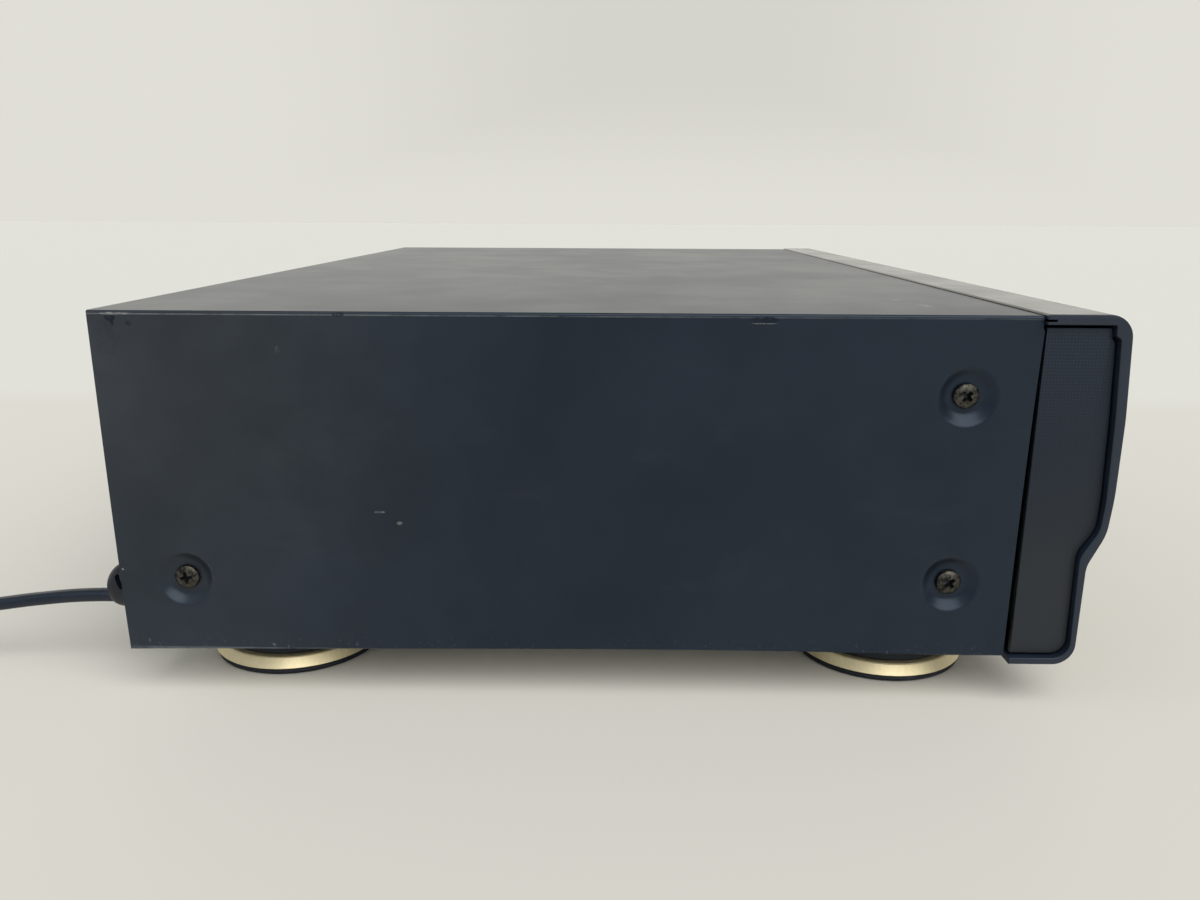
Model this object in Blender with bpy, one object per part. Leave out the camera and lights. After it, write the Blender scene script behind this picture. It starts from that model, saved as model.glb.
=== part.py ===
"""Disc player of full hi-fi width, as separate pieces that come apart on a bench.

Metres, +Z up. The front faces -Y and the width runs along X. The origin is on the ground under the
middle of the player. Depths are counted from the cover's front edge towards the rear, and heights from
the cover's bottom edge, unless a name says otherwise.
"""

import math

import bmesh
import bpy
import numpy as np
from mathutils import Matrix, Vector

# Fits
FIT = 0.0003
RUN = 0.0004
LAP = 0.0003
OVERRUN = 0.002
CORNER_STEPS = 3
PROFILE_STEPS = 4
# Radius and height shares of a low crown, from its edge inwards
CROWN_SHARES = ((0.75, 0.67), (0.28, 1.0))

# Cover
COVER_WIDTH = 0.430
COVER_DEPTH = 0.2744
COVER_HEIGHT = 0.1057
COVER_SHEET = 0.0009
COVER_BEND = 0.0016
BEND_STEPS = 3
DIMPLE_RADIUS = 0.0085
DIMPLE_FLOOR_RADIUS = 0.0060
DIMPLE_DEPTH = 0.0025
DIMPLE_SIDES = 16

# Cover screws
SCREW_INSET = 0.0189
SCREW_REAR_INSET = 0.0205
SCREW_LOW = 0.0244
SCREW_HIGH = 0.0819
SCREW_HEAD_RADIUS = 0.0040
SCREW_HEAD_EDGE = 0.0012
SCREW_HEAD_CROWN = 0.0010
SCREW_SHANK_RADIUS = 0.0018
SCREW_LENGTH = 0.0070
SCREW_SIDES = 12
CROSS_WIDTH = 0.0010
CROSS_SPAN = 0.0042
CROSS_DEPTH = 0.0013

# Fascia
FASCIA_OVERHANG = 0.002
FASCIA_DEPTH = 0.0263
FASCIA_HEIGHT = 0.1076
FASCIA_DROP = 0.0010
CROWN_RADIUS = 0.0062
BULGE_RADIUS = 0.090
STEP_RADIUS = 0.0060
TOE_RADIUS = 0.0055
INNER_STEP_RADIUS = 0.0050
INNER_TOE_RADIUS = 0.0045
# Outer and inner corners of the shell's side profile: depth and height as shares of the fascia's own
OUTER_CORNER_SHARES = (
    (0.010, 1.000),
    (0.940, 1.000),
    (0.995, 0.730),
    (1.000, 0.530),
    (0.985, 0.375),
    (0.783, 0.297),
    (0.783, 0.000),
    (0.030, 0.000),
)
INNER_CORNER_SHARES = (
    (0.010, 0.967),
    (0.772, 0.967),
    (0.783, 0.937),
    (0.829, 0.927),
    (0.878, 0.716),
    (0.894, 0.474),
    (0.875, 0.395),
    (0.721, 0.316),
    (0.719, 0.012),
    (0.030, 0.012),
)
HOOK_GROOVE_DEPTH = 0.0029
HOOK_GROOVE_HEIGHT = 0.0007
HOOK_GROOVE_DROP = 0.0014
END_CAP_MARGIN = 0.0008
END_CAP_THICKNESS = 0.0020
END_CAP_RECESS = 0.0020
END_CAP_GAP_TOP = 0.0010
END_CAP_GAP_FOOT = 0.0021

# Chassis and rear panel
CHASSIS_SHEET = 0.0010
CHASSIS_LIFT = 0.0006
SIDE_FLANGE = 0.032
FRONT_FLANGE = 0.024
SCREW_TAB_HEIGHT = 0.092
SCREW_TAB_DEPTH = 0.036
REAR_RECESS = 0.0006

# Feet
FOOT_HEIGHT = 0.015
FOOT_INSET = 0.040
FOOT_FRONT = 0.0288
FOOT_REAR = 0.2333
FOOT_SIDES = 22
PAD_RADIUS = 0.0272
PAD_HEIGHT = 0.0020
RING_FOOT_RADIUS = 0.0287
RING_TOP_RADIUS = 0.0269
RING_HEIGHT = 0.0036
CORE_RADIUS = 0.0220
NECK_RADIUS = 0.0255
SPIGOT_RADIUS = 0.0040
SPIGOT_RISE = 0.0025

# Transport mechanism
MECH_X = -0.050
DISC_RADIUS = 0.060
DECK_DROP = 0.0135
DECK_PLATE = 0.0020
DECK_FRONT_REACH = 0.016
DECK_REAR_SPAN = 0.033
DECK_WALL = 0.0030
DECK_WALL_RISE = 0.0072
RAIL_WIDTH = 0.0040
RAIL_HEIGHT = 0.0022
LEG_RADIUS = 0.0050
LEG_INSET = 0.012
LEG_FRONT = 0.010
LEG_REAR_INSET = 0.013
LEG_SIDES = 10

# Tray
TRAY_TRAVEL = 0.142
TRAY_RIM = 0.003
TRAY_FLANGE = 0.004
TRAY_SIDE_GAP = 0.001
TRAY_FRONT_WALL = 0.0067
TRAY_FRONT_REACH = 0.0217
TRAY_REAR_RIM = 0.008
RACK_SPARE = 0.010
PAN_HEIGHT = 0.0585
PAN_FLOOR = 0.0018
WELL_RISE = 0.0035
WELL_MARGIN = 0.0010
WELL_SIDES = 36
INNER_WELL_RADIUS = 0.041
RIM_RISE = 0.0085
FLANGE_RISE = 0.0018
FLANGE_SHEET = 0.0020
TRAY_SLOT_HALF = 0.018
FLAP_MARGIN = 0.003
FLAP_DROP = 0.0040
FLAP_HEIGHT = 0.018
FLAP_THICKNESS = 0.0040
FLAP_RECESS = 0.0001
FLAP_GAP = 0.0005

# Loading train
PRESSURE_DEGREES = 20
DEDENDUM_SHARE = 1.25
LOADING_MODULE = 0.0012
DRIVE_TEETH = 24
PINION_TEETH = 12
RACK_SPINE = 0.0025
RACK_INSET = 0.0005
RACK_FACE = 0.0035
RACK_OVERLAP = 0.0005
TRAIN_DEPTH = 0.008
GEAR_BACKLASH = 0.00025
GEAR_POST_RADIUS = 0.0020
HUB_RADIUS = 0.0040
PULLEY_RADIUS = 0.0130
PULLEY_GROOVE = 0.0016
PULLEY_FACE = 0.0040
PULLEY_LIFT = 0.0010
PULLEY_FLANGE = 0.0010
MOTOR_PULLEY_RADIUS = 0.0045
BELT_RUN = 0.040
BELT_THICKNESS = 0.0010
LOADING_MOTOR_RADIUS = 0.011
LOADING_MOTOR_HEIGHT = 0.0147
SHAFT_RADIUS = 0.0010
SHAFT_HOLE_RADIUS = 0.0017
ROUND_SIDES = 12

# Clamp
BRIDGE_DEPTH = 0.032
BRIDGE_PLATE = 0.0018
BRIDGE_RIB = 0.0030
BRIDGE_HOLE_RADIUS = 0.0105
PUCK_RADIUS = 0.0150
PUCK_LIFT = 0.0015
PUCK_DISC = 0.0026
PUCK_SLOPE = 0.0020
PUCK_NECK_RADIUS = 0.0090
PUCK_RECESS_RADIUS = 0.0082
PUCK_RECESS = 0.0032
PUCK_CAP_RADIUS = 0.0130
PUCK_CAP = 0.0013
PUCK_CAP_CLEARANCE = 0.0006

# Optical base
BASE_LEFT = 0.031
BASE_RIGHT = 0.054
BASE_FRONT_SPAN = 0.019
BASE_REAR_SPAN = 0.089
BASE_LIFT = 0.0030
BASE_PLATE = 0.0020
BASE_CLEARANCE = 0.0020
TRUNNION_INSET = 0.003
TRUNNION_RADIUS = 0.0020
TRUNNION_LENGTH = 0.0050
LUG_WIDTH = 0.0037
LUG_DEPTH = 0.010
LUG_HEIGHT = 0.0090
ROD_RADIUS = 0.0015
ROD_SPREAD = 0.0205
ROD_RISE = 0.0045
ROD_FRONT_SPAN = 0.010
ROD_REAR_INSET = 0.0050
ROD_LUG_DEPTH = 0.0050
ROD_LUG_WIDTH = 0.0064
ROD_LUG_HEIGHT = 0.0078

# Turntable and spindle
TABLE_RADIUS = 0.0160
TABLE_RISE = 0.0055
TABLE_THICKNESS = 0.0035
TABLE_HUB_RADIUS = 0.0074
TABLE_HUB_TAPER = 0.0008
TABLE_HUB_RISE = 0.0023
TABLE_BOSS_RADIUS = 0.0080
TABLE_BOSS = 0.0016
SPINDLE_MOTOR_RADIUS = 0.0110
SPINDLE_MOTOR_HEIGHT = 0.0088
SPINDLE_BOSS_RADIUS = 0.0030
SPINDLE_BOSS = 0.0006
BORE_RADIUS = 0.0014
TABLE_SIDES = 24

# Sled
SLED_TRAVEL = 0.034
SLED_HALF = 0.0240
SLED_FRONT = 0.0130
SLED_LENGTH = 0.030
SLED_LIFT = 0.0015
SLED_HEIGHT = 0.0075
LENS_OFFSET = 0.024
LENS_HOLDER_RADIUS = 0.0065
LENS_HOLDER_HEIGHT = 0.0040
LENS_WELL_RADIUS = 0.0046
LENS_WELL_DEPTH = 0.0030
LENS_RADIUS = 0.0041
LENS_HEIGHT = 0.0018
LENS_CROWN = 0.0005
LENS_TRAVEL = 0.0006
SLED_MODULE = 0.0008
SLED_GEAR_TEETH = 22
SLED_PINION_TEETH = 10
SLED_RACK_SPINE = 0.0008
SLED_RACK_LIFT = 0.0005
SLED_RACK_FACE = 0.0030
SLED_RACK_SPARE = 0.0045
SLED_GEAR_SPAN = 0.042
SLED_MOTOR_RADIUS = 0.0100
SLED_MOTOR_HEIGHT = 0.0117
SHAFT_END = 0.0005

# Display, boards and sockets
DISPLAY_LEFT_GAP = 0.0033
DISPLAY_RIGHT_INSET = 0.017
DISPLAY_HEIGHT = 0.040
DISPLAY_CENTRE = 0.078
WINDOW_RECESS = 0.0006
WINDOW_THICKNESS = 0.0020
WINDOW_CORNER = 0.0015
TUBE_MARGIN = 0.012
TUBE_HEIGHT = 0.028
TUBE_THICKNESS = 0.0077
BOARD_THICKNESS = 0.0016
FRONT_BOARD_REACH = 0.0090
FRONT_BOARD_INSET = 0.013
FRONT_BOARD_LOW = 0.006
FRONT_BOARD_UNDER_DECK = 0.005
FRONT_BOARD_TOP = 0.099
FRONT_BOARD_TOWER_INSET = 0.0067
FRONT_BOARD_NOTCH = 0.002
SWITCH_SIZE = 0.0060
SWITCH_RISE = 0.0032
POT_SIZE = 0.012
POT_RISE = 0.0033
MAIN_BOARD_LEFT_GAP = 0.016
MAIN_BOARD_RIGHT_INSET = 0.011
MAIN_BOARD_FRONT = 0.040
MAIN_BOARD_GAP = 0.0015
MAIN_BOARD_HEIGHT = 0.012
MAIN_POST_RADIUS = 0.0030
MAIN_POST_INSET = 0.008
CAPACITOR_RADIUS = 0.0090
CAPACITOR_HEIGHT = 0.026
CAPACITOR_REAR_INSET = 0.052
CAPACITOR_X_SHARES = (1 / 6, 1 / 3)
HEATSINK_WIDTH = 0.040
HEATSINK_HEIGHT = 0.028
HEATSINK_FIN = 0.0020
HEATSINK_DEPTH = 0.014
HEATSINK_REAR_INSET = 0.056
HEATSINK_X_SHARE = 0.8
HEATSINK_FINS = 5
CHIP_SIZE = 0.018
CHIP_HEIGHT = 0.0030
# Places of the chips, across and along the main board
CHIP_SHARES = ((0.30, 0.25), (0.70, 0.20), (0.65, 0.50))
TRANSFORMER_INSET = 0.043
TRANSFORMER_DEPTH = 0.195
CORE_WIDTH = 0.054
CORE_DEPTH = 0.032
CORE_HEIGHT = 0.045
BOBBIN_WIDTH = 0.034
BOBBIN_DEPTH = 0.048
BOBBIN_HEIGHT = 0.026
BOBBIN_CORNER = 0.0068
BOBBIN_LIFT = 0.0095
JACK_INSET = 0.067
JACK_NOSE_RADIUS = 0.0046
JACK_NOSE_REACH = 0.0008
JACK_BORE_RADIUS = 0.0034
JACK_BORE_DEPTH = 0.0160
JACK_BODY = 0.0120
JACK_BODY_REAR = 0.0025
LINE_OUT_X = 0.100
LINE_OUT_SPREAD = 0.0070
LINE_OUT_HEIGHT = 0.0240
LINE_OUT_BARREL = 0.00415
LINE_OUT_BARREL_HOLE = 0.0016
LINE_OUT_BARREL_LENGTH = 0.0090
LINE_OUT_BODY_WIDTH = 0.030
LINE_OUT_BODY_DEPTH = 0.012
LINE_OUT_BODY_HALF = 0.0085
OPTICAL_X = 0.060
OPTICAL_SIZE = 0.0094
OPTICAL_DEPTH = 0.012
OPTICAL_REACH = 0.0015
OPTICAL_HEIGHT = 0.0190

# Buttons and level knob
BAND_HEIGHT = 0.0150
BUTTON_TRAVEL = 0.0010
BUTTON_PROUD = 0.0013
BUTTON_HEIGHT = 0.0080
BUTTON_CORNER = 0.0015
BUTTON_EDGE = 0.0004
BUTTON_FLANGE = 0.0012
BUTTON_FLANGE_THICKNESS = 0.0012
BUTTON_STEM = 0.0044
POWER_INSET = 0.023
POWER_HEIGHT = 0.084
POWER_WIDTH = 0.0200
POWER_TALL = 0.0100
POWER_TRAVEL = 0.0030
OPEN_GAP = 0.0037
OPEN_WIDTH = 0.0120
TRANSPORT_BUTTONS = ("skip_back", "skip_forward", "stop", "pause", "play")
TRANSPORT_LEFT_INSET = 0.024
TRANSPORT_RIGHT_INSET = 0.032
TRANSPORT_GAP = 0.010
KNOB_INSET = 0.039
KNOB_RADIUS = 0.0065
KNOB_REACH = 0.0110
KNOB_STANDOFF = 0.0004
KNOB_CHAMFER = 0.0008
SPINDLE_RADIUS = 0.0030

# Cord
CORD_DIAMETER = 0.0052
CORD_STEP_DIAMETERS = 2.4
ROUTE_STEPS = 20
BUSH_INSET = 0.022
BUSH_HEIGHT = 0.0109
BUSH_RADIUS = 0.0074
BUSH_REACH = 0.0190
BUSH_SHOULDER = 0.0070
BUSH_END_RADIUS = 0.0052
BUSH_NECK_RADIUS = 0.0056
BUSH_INNER_RADIUS = 0.0078
BUSH_INNER = 0.0050
BUSH_SIDES = 18
BUSH_DOME_STEPS = 4
COIL_INNER_RADIUS = 0.0210
COIL_PITCH = 0.0058
COIL_TURNS = 7.25
COIL_STEPS = 24
TAIL_LENGTH = 0.030
TAIL_EASE_START = 0.008
TAIL_EASE_END = 0.024
TAIL_POINTS = 6
PLUG_NECK = 0.012
PLUG_NECK_RADIUS = 0.0042
PLUG_LENGTH = 0.036
PLUG_THICKNESS = 0.0137
PLUG_WIDTH = 0.0280
PLUG_FRONT_WIDTH = 0.0350
PIN_RADIUS = 0.0020
PIN_LENGTH = 0.019
PIN_SPREAD = 0.0095
PLUG_LIFT = 0.0001
PLUG_CORNER_SHARE = 1 / 3
# Length, width and thickness shares of the plug's body
PLUG_SHARES = ((0.00, 0.67, 0.80), (0.25, 1.00, 1.00), (0.75, 1.00, 1.00))
# The lead's centreline from the bush to the coil, chosen by hand
LEAD_ROUTE = (
    (-0.1930, 0.1625, 0.0244),
    (-0.1930, 0.1680, 0.0242),
    (-0.1930, 0.1740, 0.0238),
    (-0.1931, 0.1810, 0.0231),
    (-0.1933, 0.1880, 0.0223),
    (-0.1937, 0.1950, 0.0214),
    (-0.1944, 0.2025, 0.0204),
    (-0.1956, 0.2100, 0.0190),
    (-0.1974, 0.2175, 0.0169),
    (-0.1998, 0.2250, 0.0140),
    (-0.2026, 0.2325, 0.0108),
    (-0.2057, 0.2400, 0.0078),
    (-0.2088, 0.2475, 0.0053),
    (-0.2115, 0.2550, 0.0036),
    (-0.2134, 0.2625, 0.00285),
    (-0.2143, 0.2690, 0.00265),
    (-0.2144, 0.2735, 0.00265),
    (-0.2144, 0.2791, 0.00265),
)

# Places that follow from the sizes above
CASE = FOOT_HEIGHT
CASE_HALF = COVER_WIDTH / 2
FASCIA_WIDTH = COVER_WIDTH + 2 * FASCIA_OVERHANG
FASCIA_HALF = FASCIA_WIDTH / 2
BAND_REACH = OUTER_CORNER_SHARES[5][0] * FASCIA_DEPTH
BAND_INNER = INNER_CORNER_SHARES[8][0] * FASCIA_DEPTH
FRONT_REACH = max(FASCIA_DEPTH, BAND_REACH + KNOB_REACH)
PANEL_FACE = COVER_DEPTH - REAR_RECESS
REAR_REACH = PANEL_FACE + BUSH_REACH
COVER_FRONT = (FRONT_REACH - REAR_REACH) / 2
CHASSIS_HALF = CASE_HALF - DIMPLE_DEPTH - COVER_SHEET - FIT
CHASSIS_TOP = CHASSIS_LIFT + CHASSIS_SHEET
PANEL_INNER = PANEL_FACE - CHASSIS_SHEET
DISC_DEPTH = DISC_RADIUS + WELL_MARGIN + TRAY_FRONT_WALL - TRAY_FRONT_REACH
DISC_Y = COVER_FRONT + DISC_DEPTH
TRAY_BODY_WIDTH = 2 * (DISC_RADIUS + WELL_MARGIN + TRAY_RIM)
TRAY_BODY_REAR = DISC_DEPTH + DISC_RADIUS + WELL_MARGIN + TRAY_REAR_RIM
TRAY_WIDTH = TRAY_BODY_WIDTH + 2 * TRAY_FLANGE
FLAP_WIDTH = TRAY_WIDTH + 2 * FLAP_MARGIN
DECK_WIDTH = TRAY_WIDTH + 2 * (TRAY_SIDE_GAP + DECK_WALL)
BASE_FRONT = DISC_DEPTH - BASE_FRONT_SPAN
BASE_REAR = DISC_DEPTH + BASE_REAR_SPAN
TRUNNION_DEPTH = BASE_REAR - TRUNNION_INSET
ROD_FRONT = DISC_DEPTH - ROD_FRONT_SPAN
ROD_REAR = BASE_REAR - ROD_REAR_INSET
SLED_GEAR_DEPTH = DISC_DEPTH + SLED_GEAR_SPAN
DECK_REAR = BASE_REAR + DECK_REAR_SPAN
LEG_REAR = DECK_REAR - LEG_REAR_INSET
DECK_TOP = PAN_HEIGHT - DECK_DROP
DECK_HEIGHT = DECK_TOP - DECK_PLATE
WELL_FLOOR = PAN_HEIGHT + WELL_RISE
TRAY_REAR = TRAIN_DEPTH + TRAY_TRAVEL + RACK_SPARE
FLANGE_LOW = PAN_HEIGHT + FLANGE_RISE
RAIL_LIP = FLANGE_LOW + FLANGE_SHEET + FIT
DECK_WALL_TOP = RAIL_LIP + RAIL_HEIGHT + DECK_WALL_RISE
FLAP_LOW = PAN_HEIGHT - FLAP_DROP
BASE_LOW = DECK_HEIGHT + BASE_LIFT
BASE_TOP = BASE_LOW + BASE_PLATE
BOARD_FRONT = -FRONT_BOARD_REACH
OPEN_X = MECH_X + (FLAP_WIDTH + OPEN_WIDTH) / 2 + OPEN_GAP
OPEN_HEIGHT = FLAP_LOW + FLAP_HEIGHT / 2
DISPLAY_LEFT = OPEN_X + OPEN_WIDTH / 2 + DISPLAY_LEFT_GAP
DISPLAY_RIGHT = FASCIA_HALF - DISPLAY_RIGHT_INSET
DISPLAY_WIDTH = DISPLAY_RIGHT - DISPLAY_LEFT
DISPLAY_X = (DISPLAY_LEFT + DISPLAY_RIGHT) / 2
TUBE_WIDTH = DISPLAY_WIDTH - 2 * TUBE_MARGIN
FRONT_BOARD_HALF = FASCIA_HALF - FRONT_BOARD_INSET
FRONT_BOARD_STRIP_TOP = DECK_HEIGHT - FRONT_BOARD_UNDER_DECK
FRONT_BOARD_TOWER = OPEN_X - FRONT_BOARD_TOWER_INSET
MAIN_BOARD_LEFT = MECH_X + DECK_WIDTH / 2 + MAIN_BOARD_LEFT_GAP
MAIN_BOARD_RIGHT = CASE_HALF - MAIN_BOARD_RIGHT_INSET
TRANSFORMER_X = TRANSFORMER_INSET - CASE_HALF
JACK_X = JACK_INSET - FASCIA_HALF
POWER_X = POWER_INSET - FASCIA_HALF
KNOB_X = KNOB_INSET - FASCIA_HALF
BUSH_X = BUSH_INSET - CASE_HALF
TRANSPORT_X = DISPLAY_LEFT + TRANSPORT_LEFT_INSET
TRANSPORT_LAST = DISPLAY_RIGHT - TRANSPORT_RIGHT_INSET
TRANSPORT_PITCH = (TRANSPORT_LAST - TRANSPORT_X) / (len(TRANSPORT_BUTTONS) - 1)
BUTTON_WIDTH = TRANSPORT_PITCH - TRANSPORT_GAP
SLED_BACK_OF_MOTOR = DISC_DEPTH + SLED_FRONT
COIL_OUTER_RADIUS = COIL_INNER_RADIUS + COIL_TURNS / 2 * COIL_PITCH
COIL_X = LEAD_ROUTE[-1][0] + COIL_OUTER_RADIUS
COIL_Y = LEAD_ROUTE[-1][1] + FIT + CORD_DIAMETER
CORD_GROUND = LEAD_ROUTE[-1][2]

FINISHES = {
    "satin_black_steel": ((0.030, 0.034, 0.042), 0.42, 0.55),
    "black_plastic": ((0.020, 0.022, 0.026), 0.45, 0.0),
    "dark_aluminium": ((0.035, 0.038, 0.043), 0.38, 0.60),
    "zinc_steel": ((0.55, 0.56, 0.57), 0.35, 0.90),
    "bronze_zinc": ((0.16, 0.14, 0.10), 0.40, 0.85),
    "champagne_gold": ((0.70, 0.62, 0.46), 0.30, 0.90),
    "black_rubber": ((0.018, 0.018, 0.019), 0.70, 0.0),
    "smoked_acrylic": ((0.010, 0.012, 0.014), 0.08, 0.0),
    "tube_glass": ((0.10, 0.13, 0.13), 0.10, 0.0),
    "green_board": ((0.05, 0.17, 0.09), 0.50, 0.0),
    "grey_plastic": ((0.20, 0.21, 0.22), 0.50, 0.0),
    "white_plastic": ((0.72, 0.71, 0.66), 0.45, 0.0),
    "lens_glass": ((0.30, 0.35, 0.50), 0.05, 0.0),
    "core_steel": ((0.12, 0.11, 0.10), 0.55, 0.60),
    "black_lead": ((0.015, 0.016, 0.020), 0.45, 0.0),
}

cutter_count = 0


def at(depth):
    """World Y of a depth behind the cover's front edge."""
    return COVER_FRONT + depth


def up(height):
    """World Z of a height above the cover's bottom edge."""
    return CASE + height


def clear_scene():
    for obj in list(bpy.data.objects):
        bpy.data.objects.remove(obj, do_unlink=True)


def make(name, bm):
    """A new object with the outward-facing surface held in a bmesh."""
    bmesh.ops.recalc_face_normals(bm, faces=bm.faces)
    mesh = bpy.data.meshes.new(name)
    bm.to_mesh(mesh)
    bm.free()
    obj = bpy.data.objects.new(name, mesh)
    bpy.context.collection.objects.link(obj)
    return obj


def skin(name, rings, ring_shaped=False):
    """A closed surface through rings of equal point counts, capped at both ends or joined end to start."""
    bm = bmesh.new()
    rows = [[bm.verts.new(point) for point in ring] for ring in rings]
    following = rows[1:] + rows[:1] if ring_shaped else rows[1:]
    for row, other in zip(rows, following):
        for k in range(len(row)):
            n = (k + 1) % len(row)
            bm.faces.new((row[k], row[n], other[n], other[k]))
    if not ring_shaped:
        bm.faces.new(rows[0])
        bm.faces.new(rows[-1])
    return make(name, bm)


def spot_on(axis, a, b, along):
    """A point by its place along an axis and its two other coordinates, in X, Y, Z order."""
    return {"x": (along, a, b), "y": (a, along, b), "z": (a, b, along)}[axis]


def slab(name, outline, axis, start, stop):
    """An outline extruded along an axis. Its points are (y, z) for x, (x, z) for y and (x, y) for z."""
    return skin(name, [[spot_on(axis, a, b, along) for a, b in outline] for along in (start, stop)])


def block(name, x, y, z):
    """A box between the low and high values of each axis."""
    return slab(name, [(x[0], y[0]), (x[1], y[0]), (x[1], y[1]), (x[0], y[1])], "z", *z)


def circle(radius, sides, centre=(0, 0)):
    """Points of a circle, anticlockwise."""
    turn = math.tau / sides
    return [
        (centre[0] + radius * math.cos(k * turn), centre[1] + radius * math.sin(k * turn))
        for k in range(sides)
    ]


def turned(name, profile, centre, sides, axis="z", bored=False):
    """A piece of (radius, height) points turned about an axis through centre. A bored one has no core."""
    place = Vector(centre)
    rings = []
    for radius, height in profile:
        ring = [spot_on(axis, a, b, height) for a, b in circle(radius, sides)]
        rings.append([place + Vector(point) for point in ring])
    return skin(name, rings, ring_shaped=bored)


def crown(radius, edge, rise):
    """Profile points of a low crown above the edge of a turned piece."""
    return [(radius * wide, edge + rise * high) for wide, high in CROWN_SHARES]


def cylinder(name, radius, centre, start, stop, axis="z", sides=ROUND_SIDES):
    """A plain round bar. Centre gives its two other coordinates."""
    return slab(name, circle(radius, sides, centre), axis, start, stop)


def hide_tool(tool):
    tool.hide_render = True
    tool.display_type = "WIRE"
    tool.hide_set(True)


def combine(obj, tools, operation):
    global cutter_count
    for tool in tools:
        cutter_count += 1
        tool.name = f"tool_{cutter_count:03d}"
        hide_tool(tool)
        change = obj.modifiers.new(tool.name, "BOOLEAN")
        change.operation = operation
        change.solver = "EXACT"
        change.object = tool
    return obj


def cut(obj, *tools):
    return combine(obj, tools, "DIFFERENCE")


def fuse(obj, *tools):
    return combine(obj, tools, "UNION")


def smooth(obj, degrees=35):
    obj.data.shade_smooth()
    obj.data.set_sharp_from_angle(angle=math.radians(degrees))
    return obj


def pivot(obj, point):
    """Moves the object's origin to a point and leaves its surface where it is."""
    obj.data.transform(Matrix.Translation(-Vector(point)))
    obj.location = point
    return obj


def paint(obj, finish):
    colour, roughness, metallic = FINISHES[finish]
    material = bpy.data.materials.new(f"{obj.name}_{finish}")
    material.use_nodes = True
    shader = material.node_tree.nodes["Principled BSDF"]
    shader.inputs["Base Color"].default_value = (*colour, 1)
    shader.inputs["Roughness"].default_value = roughness
    shader.inputs["Metallic"].default_value = metallic
    material.diffuse_color = (*colour, 1)
    obj.data.materials.append(material)
    return obj


def rounded(corners, radii, steps):
    """A polygon's points with an arc in place of each corner that has a radius."""
    points = []
    count = len(corners)
    for k, (corner, radius) in enumerate(zip(corners, radii)):
        here = Vector(corner)
        before = (Vector(corners[k - 1]) - here).normalized()
        after = (Vector(corners[(k + 1) % count]) - here).normalized()
        if radius <= 0:
            points.append(tuple(here))
            continue
        half = before.angle(after) / 2
        centre = here + (before + after).normalized() * radius / math.sin(half)
        first = here + before * radius / math.tan(half) - centre
        last = here + after * radius / math.tan(half) - centre
        for s in range(steps + 1):
            arm = first.lerp(last, s / steps).normalized() * radius
            points.append(tuple(centre + arm))
    return points


def rectangle(width, height, corner, centre=(0, 0), steps=1):
    """A rectangle with rounded corners, anticlockwise."""
    a, b = width / 2, height / 2
    corners = [
        (centre[0] - a, centre[1] - b),
        (centre[0] + a, centre[1] - b),
        (centre[0] + a, centre[1] + b),
        (centre[0] - a, centre[1] + b),
    ]
    return rounded(corners, [corner] * len(corners), steps)


# Toothed parts


def half_tooth(radius, base, pitch_radius, half_pitch_angle):
    """Half the angle that an involute tooth fills at a radius."""
    def involute(r):
        pressure = math.acos(min(1, base / r))
        return math.tan(pressure) - pressure

    return half_pitch_angle + involute(pitch_radius) - involute(max(radius, base))


def gear_outline(teeth, module, centre, phase):
    """A spur gear's outline, with one tooth centred on the phase angle, and involute flanks."""
    pitch_radius = teeth * module / 2
    base = pitch_radius * math.cos(math.radians(PRESSURE_DEGREES))
    root = pitch_radius - DEDENDUM_SHARE * module
    tip = pitch_radius + module
    half = (math.pi * module / 2 - GEAR_BACKLASH) / 2 / pitch_radius
    points = []
    for tooth in range(teeth):
        middle = phase + tooth * math.tau / teeth
        sides = [(r, half_tooth(r, base, pitch_radius, half)) for r in (root, pitch_radius, tip)]
        for r, angle in [(r, -a) for r, a in sides] + list(reversed(sides)):
            points.append(
                (centre[0] + r * math.cos(middle + angle), centre[1] + r * math.sin(middle + angle))
            )
    return points


def rack_outline(module, first, last, gap_at, root_x, spine):
    """A rack's outline along Y, its teeth towards +X, with a tooth gap centred on gap_at."""
    pitch = math.pi * module
    slope = math.tan(math.radians(PRESSURE_DEGREES))
    thick = (pitch / 2 - GEAR_BACKLASH) / 2
    low = math.ceil((first - gap_at) / pitch)
    high = math.floor((last - gap_at) / pitch)
    tip_x = root_x + (DEDENDUM_SHARE + 1) * module
    pitch_x = root_x + DEDENDUM_SHARE * module
    points = [(root_x - spine, gap_at + low * pitch)]
    for k in range(low, high):
        middle = gap_at + (k + 1 / 2) * pitch
        wide = thick + (pitch_x - root_x) * slope
        narrow = thick - (tip_x - pitch_x) * slope
        points += [
            (root_x, middle - wide),
            (tip_x, middle - narrow),
            (tip_x, middle + narrow),
            (root_x, middle + wide),
        ]
    points.append((root_x - spine, gap_at + high * pitch))
    return points


def mating_phase(teeth, phase, other_teeth, direction):
    """The phase that puts a second gear in mesh with a first one, seen in a direction from it."""
    step = math.tau / teeth
    offset = (phase - direction) % step
    return direction + math.pi - offset * teeth / other_teeth + math.pi / other_teeth


# Casing


def screw_places():
    """Depth and height of the screws on one side of the cover."""
    return (
        ("front_upper", SCREW_INSET, SCREW_HIGH),
        ("front_lower", SCREW_INSET, SCREW_LOW),
        ("rear_lower", COVER_DEPTH - SCREW_REAR_INSET, SCREW_LOW),
    )


def side_signs():
    return (("left", -1), ("right", 1))


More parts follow.
